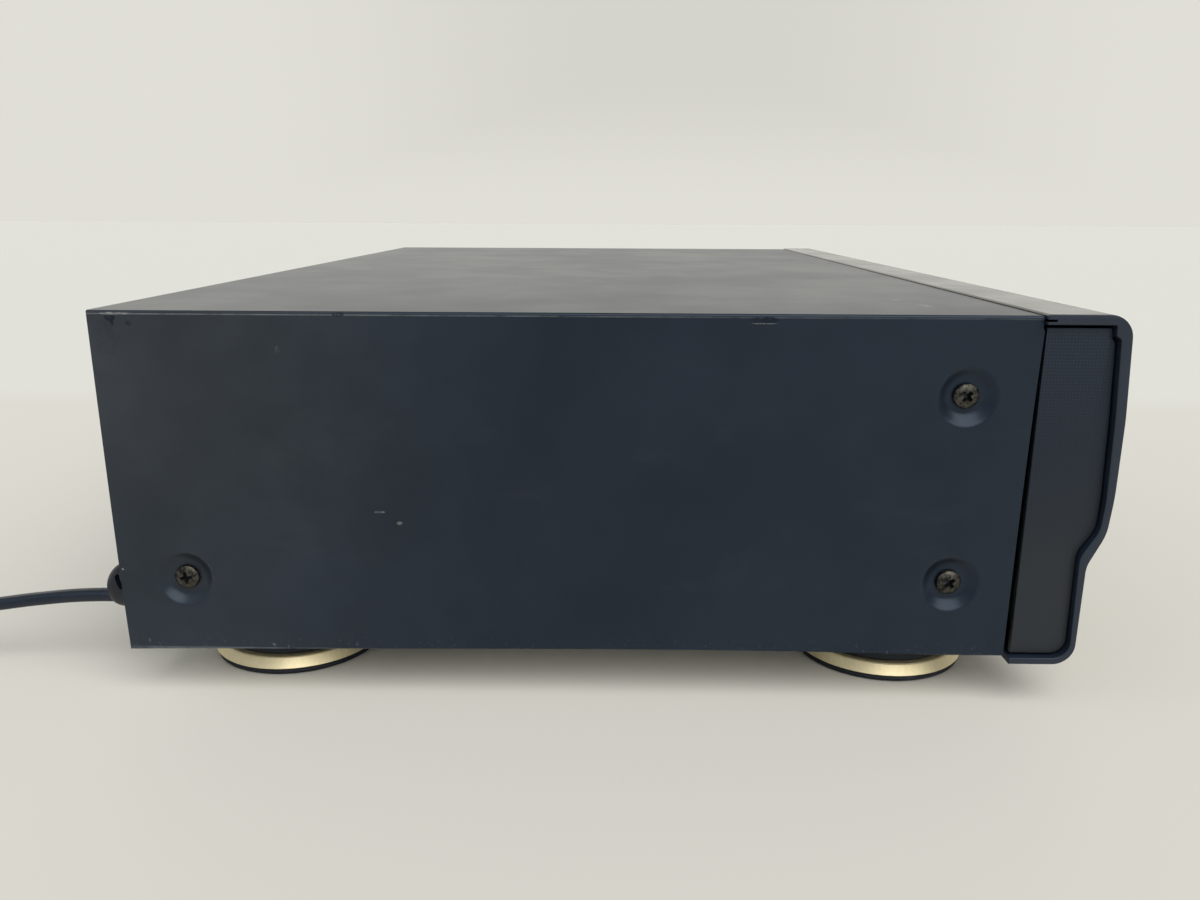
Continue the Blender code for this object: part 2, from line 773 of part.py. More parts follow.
def build_cover():
    half = COVER_WIDTH / 2
    inner = half - COVER_SHEET
    top = up(COVER_HEIGHT)
    inner_bend = COVER_BEND - COVER_SHEET
    outer_points = rounded(
        [(-half, CASE), (-half, top), (half, top), (half, CASE)],
        [0, COVER_BEND, COVER_BEND, 0],
        BEND_STEPS,
    )
    inner_points = rounded(
        [(inner, CASE), (inner, top - COVER_SHEET), (-inner, top - COVER_SHEET), (-inner, CASE)],
        [0, inner_bend, inner_bend, 0],
        BEND_STEPS,
    )
    cover = slab("top_cover", outer_points + inner_points, "y", COVER_FRONT, at(COVER_DEPTH))
    grow = COVER_SHEET / 2
    for _, sign in side_signs():
        for _, depth, height in screw_places():
            spot = (sign * half, at(depth), up(height))
            cup = turned(
                "cup",
                [
                    (DIMPLE_RADIUS + grow, -sign * grow),
                    (DIMPLE_FLOOR_RADIUS + grow, -sign * (DIMPLE_DEPTH + COVER_SHEET)),
                ],
                spot,
                DIMPLE_SIDES,
                "x",
            )
            slope = (DIMPLE_RADIUS - DIMPLE_FLOOR_RADIUS) / DIMPLE_DEPTH
            hollow = turned(
                "hollow",
                [
                    (DIMPLE_RADIUS + slope * OVERRUN, sign * OVERRUN),
                    (DIMPLE_FLOOR_RADIUS, -sign * DIMPLE_DEPTH),
                ],
                spot,
                DIMPLE_SIDES,
                "x",
            )
            hole = cylinder(
                "hole",
                SCREW_SHANK_RADIUS + FIT,
                (at(depth), up(height)),
                sign * (half - DIMPLE_DEPTH - COVER_SHEET - OVERRUN),
                sign * half,
                "x",
            )
            fuse(cover, cup)
            cut(cover, hollow, hole)
    paint(cover, "satin_black_steel")


def build_cover_screws():
    half = COVER_WIDTH / 2
    for side, sign in side_signs():
        for place, depth, height in screw_places():
            seat = half - DIMPLE_DEPTH + FIT
            spot = (sign * seat, at(depth), up(height))
            head = SCREW_HEAD_EDGE + SCREW_HEAD_CROWN
            screw = turned(
                f"cover_screw_{side}_{place}",
                [
                    (SCREW_SHANK_RADIUS, -sign * SCREW_LENGTH),
                    (SCREW_SHANK_RADIUS, 0),
                    (SCREW_HEAD_RADIUS, 0),
                    (SCREW_HEAD_RADIUS, sign * SCREW_HEAD_EDGE),
                    *crown(SCREW_HEAD_RADIUS, sign * SCREW_HEAD_EDGE, sign * SCREW_HEAD_CROWN),
                ],
                spot,
                SCREW_SIDES,
                "x",
            )
            arm, wide = CROSS_SPAN / 2, CROSS_WIDTH / 2
            cross = [
                (-arm, -wide), (-wide, -wide), (-wide, -arm), (wide, -arm), (wide, -wide), (arm, -wide),
                (arm, wide), (wide, wide), (wide, arm), (-wide, arm), (-wide, wide), (-arm, wide),
            ]
            outline = [(at(depth) + a, up(height) + b) for a, b in cross]
            floor = sign * (seat + head - CROSS_DEPTH)
            cut(screw, slab("cross", outline, "x", floor, sign * (seat + head + OVERRUN)))
            paint(smooth(screw), "bronze_zinc")


def fascia_points(shares):
    """World (y, z) of fascia profile shares."""
    return [(at(-d * FASCIA_DEPTH), up(h * FASCIA_HEIGHT - FASCIA_DROP)) for d, h in shares]


def inner_profile():
    bend = [BULGE_RADIUS, BULGE_RADIUS, INNER_STEP_RADIUS, INNER_STEP_RADIUS, INNER_TOE_RADIUS]
    return rounded(fascia_points(INNER_CORNER_SHARES), [0, 0, 0, 0, *bend, 0], PROFILE_STEPS)


def fascia_cutters():
    """What opens the front wall: drawer slot, display, buttons, jack and level spindle."""
    wall = (at(-FASCIA_DEPTH - OVERRUN), at(-BAND_INNER / 2))
    slot_half = FLAP_WIDTH / 2 + FLAP_GAP
    yield block(
        "slot",
        (MECH_X - slot_half, MECH_X + slot_half),
        wall,
        (up(FLAP_LOW - FLAP_GAP), up(FLAP_LOW + FLAP_HEIGHT + FLAP_GAP)),
    )
    yield slab(
        "window",
        rectangle(
            DISPLAY_WIDTH + 2 * FIT,
            DISPLAY_HEIGHT + 2 * FIT,
            WINDOW_CORNER + FIT,
            (DISPLAY_X, up(DISPLAY_CENTRE)),
        ),
        "y",
        *wall,
    )
    for _, x, height, width, tall, _ in button_table():
        outline = rectangle(width + 2 * RUN, tall + 2 * RUN, BUTTON_CORNER + RUN, (x, up(height)))
        yield slab("button_hole", outline, "y", *wall)
    yield cylinder("jack_hole", JACK_NOSE_RADIUS + FIT, (JACK_X, up(BAND_HEIGHT)), *wall, "y")
    yield cylinder("spindle_hole", SPINDLE_RADIUS + RUN, (KNOB_X, up(BAND_HEIGHT)), *wall, "y")


def build_fascia():
    radii = [0, CROWN_RADIUS, BULGE_RADIUS, BULGE_RADIUS, STEP_RADIUS, STEP_RADIUS, TOE_RADIUS, 0]
    outer_points = rounded(fascia_points(OUTER_CORNER_SHARES), radii, PROFILE_STEPS)
    outline = outer_points + list(reversed(inner_profile()))
    half = FASCIA_WIDTH / 2
    fascia = slab("front_fascia", outline, "x", -half, half)
    top = up(FASCIA_HEIGHT - FASCIA_DROP)
    groove = block(
        "groove",
        (-half - OVERRUN, half + OVERRUN),
        (at(-HOOK_GROOVE_DEPTH), at(OVERRUN)),
        (top - HOOK_GROOVE_DROP - HOOK_GROOVE_HEIGHT, top - HOOK_GROOVE_DROP),
    )
    cut(fascia, groove, *fascia_cutters())
    paint(fascia, "dark_aluminium")


def shrink(points, margin):
    """An anticlockwise or clockwise polygon with every side moved inwards by a margin."""
    ring = [Vector(p) for p in points]
    area = sum(a.x * b.y - b.x * a.y for a, b in zip(ring, ring[1:] + ring[:1]))
    sign = 1 if area > 0 else -1
    moved = []
    for k, here in enumerate(ring):
        first = (here - ring[k - 1]).normalized()
        second = (ring[(k + 1) % len(ring)] - here).normalized()
        one = Vector((-first.y, first.x)) * sign
        two = Vector((-second.y, second.x)) * sign
        middle = (one + two).normalized()
        moved.append(tuple(here + middle * margin / max(middle.dot(one), 1 / 2)))
    return moved


def build_end_caps():
    points = shrink(inner_profile(), END_CAP_MARGIN)
    foot, top = points[-1][1], points[0][1]
    outline = [(at(-END_CAP_GAP_TOP), top), *points[1:-1], (at(-END_CAP_GAP_FOOT), foot)]
    face = FASCIA_WIDTH / 2 - END_CAP_RECESS
    for side, sign in side_signs():
        cap = slab(
            f"fascia_end_cap_{side}", outline, "x", sign * (face - END_CAP_THICKNESS), sign * face
        )
        paint(cap, "black_plastic")


def foot_places():
    x = COVER_WIDTH / 2 - FOOT_INSET
    for row, depth in (("front", FOOT_FRONT), ("rear", FOOT_REAR)):
        for side, sign in side_signs():
            yield f"{row}_{side}", (sign * x, at(depth))


def build_chassis():
    half, front, rear = CHASSIS_HALF, at(FIT), at(PANEL_INNER - FIT)
    inside = half - CHASSIS_SHEET
    chassis = block(
        "bottom_chassis", (-half, half), (front, rear), (up(CHASSIS_LIFT), up(SCREW_TAB_HEIGHT))
    )
    over = up(SCREW_TAB_HEIGHT + OVERRUN)
    cut(
        chassis,
        block(
            "inside",
            (-inside, inside),
            (front + CHASSIS_SHEET, rear + OVERRUN),
            (up(CHASSIS_TOP), over),
        ),
        block("over_front", (-inside, inside), (front - OVERRUN, rear), (up(FRONT_FLANGE), over)),
        block(
            "over_sides",
            (-half - OVERRUN, half + OVERRUN),
            (front + SCREW_TAB_DEPTH, rear + OVERRUN),
            (up(SIDE_FLANGE), over),
        ),
    )
    for _, sign in side_signs():
        for _, depth, height in screw_places():
            spot = (at(depth), up(height))
            reach = (sign * (inside - OVERRUN), sign * (half + OVERRUN))
            cut(chassis, cylinder("screw_hole", SCREW_SHANK_RADIUS + FIT, spot, *reach, "x"))
    for _, spot in foot_places():
        low, high = up(CHASSIS_LIFT - OVERRUN), up(CHASSIS_TOP + OVERRUN)
        cut(chassis, cylinder("foot_hole", SPIGOT_RADIUS + FIT, spot, low, high))
    paint(chassis, "zinc_steel")


def build_rear_panel():
    half = COVER_WIDTH / 2 - COVER_SHEET - FIT
    panel = block(
        "rear_panel",
        (-half, half),
        (at(PANEL_INNER), at(PANEL_FACE)),
        (up(CHASSIS_LIFT), up(COVER_HEIGHT - COVER_SHEET - FIT)),
    )
    wall = (at(PANEL_INNER - OVERRUN), at(PANEL_FACE + OVERRUN))
    for sign in (-1, 1):
        spot = (LINE_OUT_X + sign * LINE_OUT_SPREAD, up(LINE_OUT_HEIGHT))
        cut(panel, cylinder("line_hole", LINE_OUT_BARREL + FIT, spot, *wall, "y"))
    cut(
        panel,
        cylinder("bush_hole", BUSH_NECK_RADIUS + FIT, (BUSH_X, up(BUSH_HEIGHT)), *wall, "y"),
        slab(
            "optical_hole",
            rectangle(
                OPTICAL_SIZE + 2 * FIT, OPTICAL_SIZE + 2 * FIT, 0, (OPTICAL_X, up(OPTICAL_HEIGHT))
            ),
            "y",
            *wall,
        ),
    )
    paint(panel, "satin_black_steel")


def build_feet():
    ring_low = PAD_HEIGHT + FIT
    ring_top = ring_low + RING_HEIGHT
    for place, (x, y) in foot_places():
        foot = turned(
            f"foot_{place}",
            [
                (PAD_RADIUS, 0),
                (PAD_RADIUS, PAD_HEIGHT),
                (CORE_RADIUS, PAD_HEIGHT),
                (CORE_RADIUS, ring_top + FIT),
                (NECK_RADIUS, ring_top + FIT),
                (NECK_RADIUS, up(CHASSIS_LIFT) - FIT),
                (SPIGOT_RADIUS, up(CHASSIS_LIFT) - FIT),
                (SPIGOT_RADIUS, up(CHASSIS_TOP + SPIGOT_RISE)),
            ],
            (x, y, 0),
            FOOT_SIDES,
        )
        paint(smooth(foot), "black_rubber")
        ring = turned(
            f"foot_ring_{place}",
            [
                (CORE_RADIUS + FIT, ring_low),
                (RING_FOOT_RADIUS, ring_low),
                (RING_TOP_RADIUS, ring_top),
                (CORE_RADIUS + FIT, ring_top),
            ],
            (x, y, 0),
            FOOT_SIDES,
            bored=True,
        )
        paint(smooth(ring), "champagne_gold")


# Front panel pieces


def button_table():
    """Name, x, height, width, tallness and travel of each button."""
    rows = [
        ("power_button", POWER_X, POWER_HEIGHT, POWER_WIDTH, POWER_TALL, POWER_TRAVEL),
        ("open_close_button", OPEN_X, OPEN_HEIGHT, OPEN_WIDTH, BUTTON_HEIGHT, BUTTON_TRAVEL),
    ]
    for k, name in enumerate(TRANSPORT_BUTTONS):
        x = TRANSPORT_X + k * TRANSPORT_PITCH
        rows.append(
            (f"{name}_button", x, BAND_HEIGHT, BUTTON_WIDTH, BUTTON_HEIGHT, BUTTON_TRAVEL)
        )
    return rows


def reach_at(shares, height):
    """How far a fascia profile stands in front of the cover's edge at a height above the cover's foot."""
    rows = sorted((share * FASCIA_HEIGHT - FASCIA_DROP, d * FASCIA_DEPTH) for d, share in shares[1:-1])
    return float(np.interp(height, *zip(*rows)))


def build_buttons():
    for name, x, height, width, tall, travel in button_table():
        centre = (x, up(height))
        flange = (width + 2 * BUTTON_FLANGE, tall + 2 * BUTTON_FLANGE)
        face = at(-reach_at(OUTER_CORNER_SHARES, height) - BUTTON_PROUD)
        edges = (height - flange[1] / 2, height + flange[1] / 2)
        behind = at(-min(reach_at(INNER_CORNER_SHARES, edge) for edge in edges)) + RUN
        back = at(BOARD_FRONT - SWITCH_RISE - FIT - travel)
        sections = [
            (face, width - BUTTON_CORNER, tall - BUTTON_CORNER),
            (face + BUTTON_EDGE, width, tall),
            (behind, width, tall),
            (behind, *flange),
            (behind + BUTTON_FLANGE_THICKNESS, *flange),
            (behind + BUTTON_FLANGE_THICKNESS, BUTTON_STEM, BUTTON_STEM),
            (back, BUTTON_STEM, BUTTON_STEM),
        ]
        rings = [
            [(a, y, b) for a, b in rectangle(w, h, BUTTON_CORNER, centre)] for y, w, h in sections
        ]
        button = skin(name, rings)
        paint(pivot(button, (x, face, up(height))), "black_plastic")


def build_display():
    face = at(-FASCIA_DEPTH + WINDOW_RECESS)
    outline = rectangle(DISPLAY_WIDTH, DISPLAY_HEIGHT, WINDOW_CORNER, (DISPLAY_X, up(DISPLAY_CENTRE)))
    window = slab("display_window", outline, "y", face, face + WINDOW_THICKNESS)
    paint(window, "smoked_acrylic")
    back = at(BOARD_FRONT) - FIT
    outline = rectangle(TUBE_WIDTH, TUBE_HEIGHT, WINDOW_CORNER, (DISPLAY_X, up(DISPLAY_CENTRE)))
    tube = slab("display_tube", outline, "y", back - TUBE_THICKNESS, back)
    paint(tube, "tube_glass")


def build_front_board():
    half = FRONT_BOARD_HALF
    power_edge = POWER_X + POWER_WIDTH / 2
    notch = JACK_BODY / 2 + FRONT_BOARD_NOTCH
    outline = [
        (-half, up(FRONT_BOARD_LOW)),
        (JACK_X - notch, up(FRONT_BOARD_LOW)),
        (JACK_X - notch, up(FRONT_FLANGE)),
        (JACK_X + notch, up(FRONT_FLANGE)),
        (JACK_X + notch, up(FRONT_BOARD_LOW)),
        (half, up(FRONT_BOARD_LOW)),
        (half, up(FRONT_BOARD_TOP)),
        (FRONT_BOARD_TOWER, up(FRONT_BOARD_TOP)),
        (FRONT_BOARD_TOWER, up(FRONT_BOARD_STRIP_TOP)),
        (power_edge, up(FRONT_BOARD_STRIP_TOP)),
        (power_edge, up(FRONT_BOARD_TOP)),
        (-half, up(FRONT_BOARD_TOP)),
    ]
    face = at(BOARD_FRONT)
    board = slab("front_board", outline, "y", face, face + BOARD_THICKNESS)
    size = SWITCH_SIZE / 2
    for _, x, height, _, _, _ in button_table():
        fuse(
            board,
            block(
                "switch",
                (x - size, x + size),
                (face - SWITCH_RISE, face + LAP),
                (up(height) - size, up(height) + size),
            ),
        )
    pot = POT_SIZE / 2
    fuse(
        board,
        block(
            "pot",
            (KNOB_X - pot, KNOB_X + pot),
            (face - POT_RISE, face + LAP),
            (up(BAND_HEIGHT) - pot + SWITCH_SIZE / 2, up(BAND_HEIGHT) + pot),
        ),
    )
    paint(board, "green_board")


def build_level_knob():
    back = BAND_REACH + KNOB_STANDOFF
    front = BAND_REACH + KNOB_REACH
    end = -BOARD_FRONT + POT_RISE + FIT
    knob = turned(
        "level_knob",
        [
            (SPINDLE_RADIUS, -end),
            (SPINDLE_RADIUS, -back),
            (KNOB_RADIUS, -back),
            (KNOB_RADIUS, -front + KNOB_CHAMFER),
            (KNOB_RADIUS - KNOB_CHAMFER, -front),
        ],
        (KNOB_X, COVER_FRONT, up(BAND_HEIGHT)),
        TABLE_SIDES,
        "y",
    )
    paint(smooth(pivot(knob, (KNOB_X, at(-front), up(BAND_HEIGHT)))), "black_plastic")


def build_headphone_socket():
    centre = (JACK_X, up(BAND_HEIGHT))
    half = JACK_BODY / 2
    body_front = at(-BAND_INNER) + FIT
    socket = block(
        "headphone_socket",
        (JACK_X - half, JACK_X + half),
        (body_front, at(-JACK_BODY_REAR)),
        (centre[1] - half, centre[1] + half),
    )
    nose = at(-BAND_REACH - JACK_NOSE_REACH)
    fuse(socket, cylinder("nose", JACK_NOSE_RADIUS, centre, nose, body_front + OVERRUN, "y"))
    bore = cylinder("bore", JACK_BORE_RADIUS, centre, nose - OVERRUN, nose + JACK_BORE_DEPTH, "y")
    cut(socket, bore)
    paint(socket, "black_plastic")


# Rear sockets


def build_line_out():
    body_rear = at(PANEL_INNER) - FIT
    half = LINE_OUT_BODY_WIDTH / 2
    sockets = block(
        "line_out_sockets",
        (LINE_OUT_X - half, LINE_OUT_X + half),
        (body_rear - LINE_OUT_BODY_DEPTH, body_rear),
        (up(LINE_OUT_HEIGHT - LINE_OUT_BODY_HALF), up(LINE_OUT_HEIGHT + LINE_OUT_BODY_HALF)),
    )
    end = at(PANEL_FACE + LINE_OUT_BARREL_LENGTH)
    for sign in (-1, 1):
        spot = (LINE_OUT_X + sign * LINE_OUT_SPREAD, up(LINE_OUT_HEIGHT))
        fuse(sockets, cylinder("barrel", LINE_OUT_BARREL, spot, body_rear - OVERRUN, end, "y"))
        hole_start = end - LINE_OUT_BARREL_LENGTH
        cut(sockets, cylinder("pin_hole", LINE_OUT_BARREL_HOLE, spot, hole_start, end + OVERRUN, "y"))
    paint(sockets, "black_plastic")


def build_optical_output():
    half = OPTICAL_SIZE / 2
    output = block(
        "optical_output",
        (OPTICAL_X - half, OPTICAL_X + half),
        (at(PANEL_INNER - OPTICAL_DEPTH), at(PANEL_FACE + OPTICAL_REACH)),
        (up(OPTICAL_HEIGHT) - half, up(OPTICAL_HEIGHT) + half),
    )
    paint(output, "black_plastic")


# Supply and electronics


def build_transformer():
    low = up(CHASSIS_TOP) + FIT
    y = at(TRANSFORMER_DEPTH)
    core = block(
        "power_transformer",
        (TRANSFORMER_X - CORE_WIDTH / 2, TRANSFORMER_X + CORE_WIDTH / 2),
        (y - CORE_DEPTH / 2, y + CORE_DEPTH / 2),
        (low, low + CORE_HEIGHT),
    )
    ring = rectangle(BOBBIN_WIDTH, BOBBIN_DEPTH, BOBBIN_CORNER, (TRANSFORMER_X, y), CORNER_STEPS)
    bobbin = slab("bobbin", ring, "z", low + BOBBIN_LIFT, low + BOBBIN_LIFT + BOBBIN_HEIGHT)
    paint(fuse(core, bobbin), "core_steel")


def build_main_board():
    low = up(MAIN_BOARD_HEIGHT)
    top = low + BOARD_THICKNESS
    left, right = MAIN_BOARD_LEFT, MAIN_BOARD_RIGHT
    sockets = max(FIT + LINE_OUT_BODY_DEPTH, OPTICAL_DEPTH)
    front, rear = at(MAIN_BOARD_FRONT), at(PANEL_INNER - sockets - MAIN_BOARD_GAP)
    board = block("main_board", (left, right), (front, rear), (low, top))
    post = (up(CHASSIS_TOP) + FIT, low + LAP)
    for x in (left + MAIN_POST_INSET, right - MAIN_POST_INSET):
        for y in (front + MAIN_POST_INSET, rear - MAIN_POST_INSET):
            fuse(board, cylinder("post", MAIN_POST_RADIUS, (x, y), *post, sides=LEG_SIDES))
    span = right - left
    tall = (top - LAP, top + CAPACITOR_HEIGHT)
    for share in CAPACITOR_X_SHARES:
        spot = (left + share * span, rear - CAPACITOR_REAR_INSET)
        fuse(board, cylinder("capacitor", CAPACITOR_RADIUS, spot, *tall))
    half = CHIP_SIZE / 2
    for x_share, y_share in CHIP_SHARES:
        x, y = left + x_share * span, front + y_share * (rear - front)
        chip_rise = (top - LAP, top + CHIP_HEIGHT)
        fuse(board, block("chip", (x - half, x + half), (y - half, y + half), chip_rise))
    fuse(board, heatsink(left + HEATSINK_X_SHARE * span, rear - HEATSINK_REAR_INSET, top))
    paint(board, "green_board")


def heatsink(x, y, foot):
    """An upright comb of fins that points to the rear, with the middle of its plate at x and y."""
    plate = HEATSINK_WIDTH / 2
    fin = HEATSINK_FIN / 2
    comb = [(x - plate, y)]
    for k in range(HEATSINK_FINS):
        middle = x - plate + fin + k * (HEATSINK_WIDTH - HEATSINK_FIN) / (HEATSINK_FINS - 1)
        comb += [
            (middle - fin, y + HEATSINK_FIN), (middle - fin, y + HEATSINK_DEPTH),
            (middle + fin, y + HEATSINK_DEPTH), (middle + fin, y + HEATSINK_FIN),
        ]
    comb.append((x + plate, y))
    return slab("heatsink", comb, "z", foot - LAP, foot + HEATSINK_HEIGHT)


# Disc drawer


def rack_root():
    """X of the root line of the tray's rack."""
    return MECH_X - TRAY_BODY_WIDTH / 2 + RACK_INSET + RACK_SPINE


def drive_centre():
    radius = DRIVE_TEETH * LOADING_MODULE / 2
    return (rack_root() + DEDENDUM_SHARE * LOADING_MODULE + radius, at(TRAIN_DEPTH))


def pulley_centre():
    x, y = drive_centre()
    return (x + (DRIVE_TEETH + PINION_TEETH) * LOADING_MODULE / 2, y)


def motor_centre():
    x, y = pulley_centre()
    return (x + BELT_RUN, y)


def build_tray():
    half, body = TRAY_WIDTH / 2, TRAY_BODY_WIDTH / 2
    front = at(-TRAY_FRONT_REACH)
    tray = block(
        "tray",
        (MECH_X - body, MECH_X + body),
        (front, at(TRAY_BODY_REAR)),
        (up(PAN_HEIGHT), up(PAN_HEIGHT + RIM_RISE)),
    )
    flange_top = up(FLANGE_LOW + FLANGE_SHEET)
    fuse(
        tray,
        block(
            "flange", (MECH_X - half, MECH_X + half), (front, at(TRAY_REAR)), (up(FLANGE_LOW), flange_top)
        ),
        block(
            "tail",
            (MECH_X - body, MECH_X + body),
            (at(TRAY_BODY_REAR - OVERRUN), at(TRAY_REAR)),
            (up(PAN_HEIGHT), flange_top - LAP),
        ),
        slab(
            "rack",
            rack_outline(
                LOADING_MODULE,
                at(TRAIN_DEPTH - 2 * LOADING_MODULE * math.pi),
                at(TRAY_REAR - OVERRUN),
                at(TRAIN_DEPTH),
                rack_root(),
                RACK_SPINE,
            ),
            "z",
            up(PAN_HEIGHT - RACK_FACE),
            up(PAN_HEIGHT + RACK_OVERLAP),
        ),
    )
    centre = (MECH_X, DISC_Y)
    over = up(PAN_HEIGHT + RIM_RISE + OVERRUN)
    slot = TRAY_SLOT_HALF
    under = up(PAN_HEIGHT - OVERRUN)
    inner_floor = up(PAN_HEIGHT + PAN_FLOOR)
    cut(
        tray,
        cylinder("well", DISC_RADIUS + WELL_MARGIN, centre, up(WELL_FLOOR), over, sides=WELL_SIDES),
        cylinder("inner_well", INNER_WELL_RADIUS, centre, inner_floor, over, sides=WELL_SIDES),
        cylinder("eye", slot, centre, under, over, sides=FOOT_SIDES),
        block("slot", (MECH_X - slot, MECH_X + slot), (DISC_Y, at(TRAY_REAR + OVERRUN)), (under, over)),
    )
    paint(tray, "black_plastic")


def build_tray_front():
    half = FLAP_WIDTH / 2
    front = at(-FASCIA_DEPTH + FLAP_RECESS)
    back = front + FLAP_THICKNESS
    rise = (up(FLAP_LOW), up(FLAP_LOW + FLAP_HEIGHT))
    flap = block("tray_front", (MECH_X - half, MECH_X + half), (front, back), rise)
    bevel = flap.modifiers.new("edges", "BEVEL")
    bevel.width = FLAP_GAP
    bevel.segments = 1
    paint(flap, "black_plastic")


def trunnion_height():
    return up(BASE_LOW + BASE_PLATE / 2)


def build_mechanism_frame():
    half = DECK_WIDTH / 2
    wall = half - DECK_WALL
    rail = wall - RAIL_WIDTH
    ledge = FLANGE_LOW - FIT
    lip = RAIL_LIP
    right = [
        (half, DECK_HEIGHT), (half, DECK_WALL_TOP), (wall, DECK_WALL_TOP), (wall, lip + RAIL_HEIGHT),
        (rail, lip + RAIL_HEIGHT), (rail, lip), (wall, lip), (wall, ledge), (rail, ledge),
        (rail, ledge - RAIL_HEIGHT), (wall, ledge - RAIL_HEIGHT), (wall, DECK_TOP),
    ]
    outline = [(MECH_X + x, up(z)) for x, z in right]
    outline += [(MECH_X - x, up(z)) for x, z in reversed(right)]
    frame = slab("mechanism_frame", outline, "y", at(-DECK_FRONT_REACH), at(DECK_REAR))
    gap = BASE_CLEARANCE
    left_edge, right_edge = MECH_X - BASE_LEFT - gap, MECH_X + BASE_RIGHT + gap
    cut(
        frame,
        block(
            "opening",
            (left_edge, right_edge),
            (at(BASE_FRONT - gap), at(BASE_REAR + gap)),
            (up(DECK_HEIGHT - OVERRUN), up(DECK_TOP + OVERRUN)),
        ),
        cylinder(
            "shaft_hole",
            SHAFT_HOLE_RADIUS,
            motor_centre(),
            up(DECK_HEIGHT - OVERRUN),
            up(DECK_TOP + OVERRUN),
        ),
    )
    for x in (MECH_X - half + LEG_INSET, MECH_X + half - LEG_INSET):
        for depth in (LEG_FRONT, LEG_REAR):
            low, high = up(CHASSIS_TOP) + FIT, up(DECK_HEIGHT + LAP)
            fuse(frame, cylinder("leg", LEG_RADIUS, (x, at(depth)), low, high, sides=LEG_SIDES))
    y, z = at(TRUNNION_DEPTH), trunnion_height()
    for inner, outer in ((left_edge, left_edge - LUG_WIDTH), (right_edge, right_edge + LUG_WIDTH)):
        lug = block(
            "lug",
            (min(inner, outer), max(inner, outer)),
            (y - LUG_DEPTH / 2, y + LUG_DEPTH / 2),
            (up(DECK_HEIGHT), up(DECK_HEIGHT + LUG_HEIGHT)),
        )
        fuse(frame, lug)
        reach = (min(inner, outer) - OVERRUN, max(inner, outer) + OVERRUN)
        cut(frame, cylinder("lug_hole", TRUNNION_RADIUS + RUN, (y, z), *reach, "x"))
    for spot in (drive_centre(), pulley_centre()):
        top = up(PAN_HEIGHT) - RUN
        fuse(frame, cylinder("post", GEAR_POST_RADIUS, spot, up(DECK_TOP - LAP), top, sides=LEG_SIDES))
    paint(frame, "grey_plastic")


def loading_phases():
    """Phases of the drive gear and of the pulley's pinion, in mesh with the rack and each other."""
    drive = math.pi
    return drive, mating_phase(DRIVE_TEETH, drive, PINION_TEETH, 0)


def bored_gear(name, teeth, module, centre, phase, low, high, bore):
    outline = gear_outline(teeth, module, centre, phase)
    gear = slab(name, outline, "z", low, high)
    return cut(gear, cylinder("bore", bore, centre, low - OVERRUN, high + OVERRUN, sides=LEG_SIDES))


def build_loading_train():
    drive_phase, pinion_phase = loading_phases()
    low = up(PAN_HEIGHT - RACK_FACE)
    high = up(PAN_HEIGHT) - FIT - RUN
    deck = up(DECK_TOP) + FIT
    bore = GEAR_POST_RADIUS + RUN

    spot = drive_centre()
    outline = gear_outline(DRIVE_TEETH, LOADING_MODULE, spot, drive_phase)
    drive = slab("drive_gear", outline, "z", low, high)
    fuse(drive, cylinder("hub", HUB_RADIUS, spot, deck, low + LAP))
    cut(drive, cylinder("bore", bore, spot, deck - OVERRUN, high + OVERRUN, sides=LEG_SIDES))
    paint(pivot_flat(drive, spot), "white_plastic")

    spot = pulley_centre()
    outline = gear_outline(PINION_TEETH, LOADING_MODULE, spot, pinion_phase)
    pulley_top = deck + PULLEY_LIFT + PULLEY_FACE
    pulley = slab("loading_pulley", outline, "z", pulley_top - LAP, high)
    fuse(pulley, grooved_wheel(PULLEY_RADIUS, spot, deck + PULLEY_LIFT, TABLE_SIDES))
    fuse(pulley, cylinder("hub", HUB_RADIUS, spot, deck, deck + PULLEY_LIFT + LAP))
    cut(pulley, cylinder("bore", bore, spot, deck - OVERRUN, high + OVERRUN, sides=LEG_SIDES))
    paint(pivot_flat(pulley, spot), "white_plastic")

    spot = motor_centre()
    wheel = grooved_wheel(MOTOR_PULLEY_RADIUS, spot, deck + PULLEY_LIFT, ROUND_SIDES)
    wheel.name = "motor_pulley"
    cut(wheel, cylinder("bore", BORE_RADIUS, spot, deck - OVERRUN, high, sides=LEG_SIDES))
    paint(pivot_flat(wheel, spot), "white_plastic")

    motor_top = up(DECK_HEIGHT) - FIT
    shaft_top = deck + PULLEY_LIFT + PULLEY_FACE + SHAFT_END
    motor = turned(
        "loading_motor",
        [
            (LOADING_MOTOR_RADIUS, motor_top - LOADING_MOTOR_HEIGHT),
            (LOADING_MOTOR_RADIUS, motor_top),
            (SHAFT_RADIUS, motor_top),
            (SHAFT_RADIUS, shaft_top),
        ],
        (*spot, 0),
        FOOT_SIDES,
    )
    paint(smooth(motor), "zinc_steel")


def pivot_flat(obj, spot):
    """Puts the origin on an upright axis through a plan point."""
    return pivot(obj, (*spot, 0))


def grooved_wheel(radius, spot, low, sides):
    """A belt wheel with two flanges and a groove between them."""
    groove = radius - PULLEY_GROOVE
    high = low + PULLEY_FACE
    return turned(
        "wheel",
        [
            (radius, low),
            (radius, low + PULLEY_FLANGE),
            (groove, low + PULLEY_FLANGE),
            (groove, high - PULLEY_FLANGE),
            (radius, high - PULLEY_FLANGE),
            (radius, high),
        ],
        (*spot, 0),
        sides,
    )


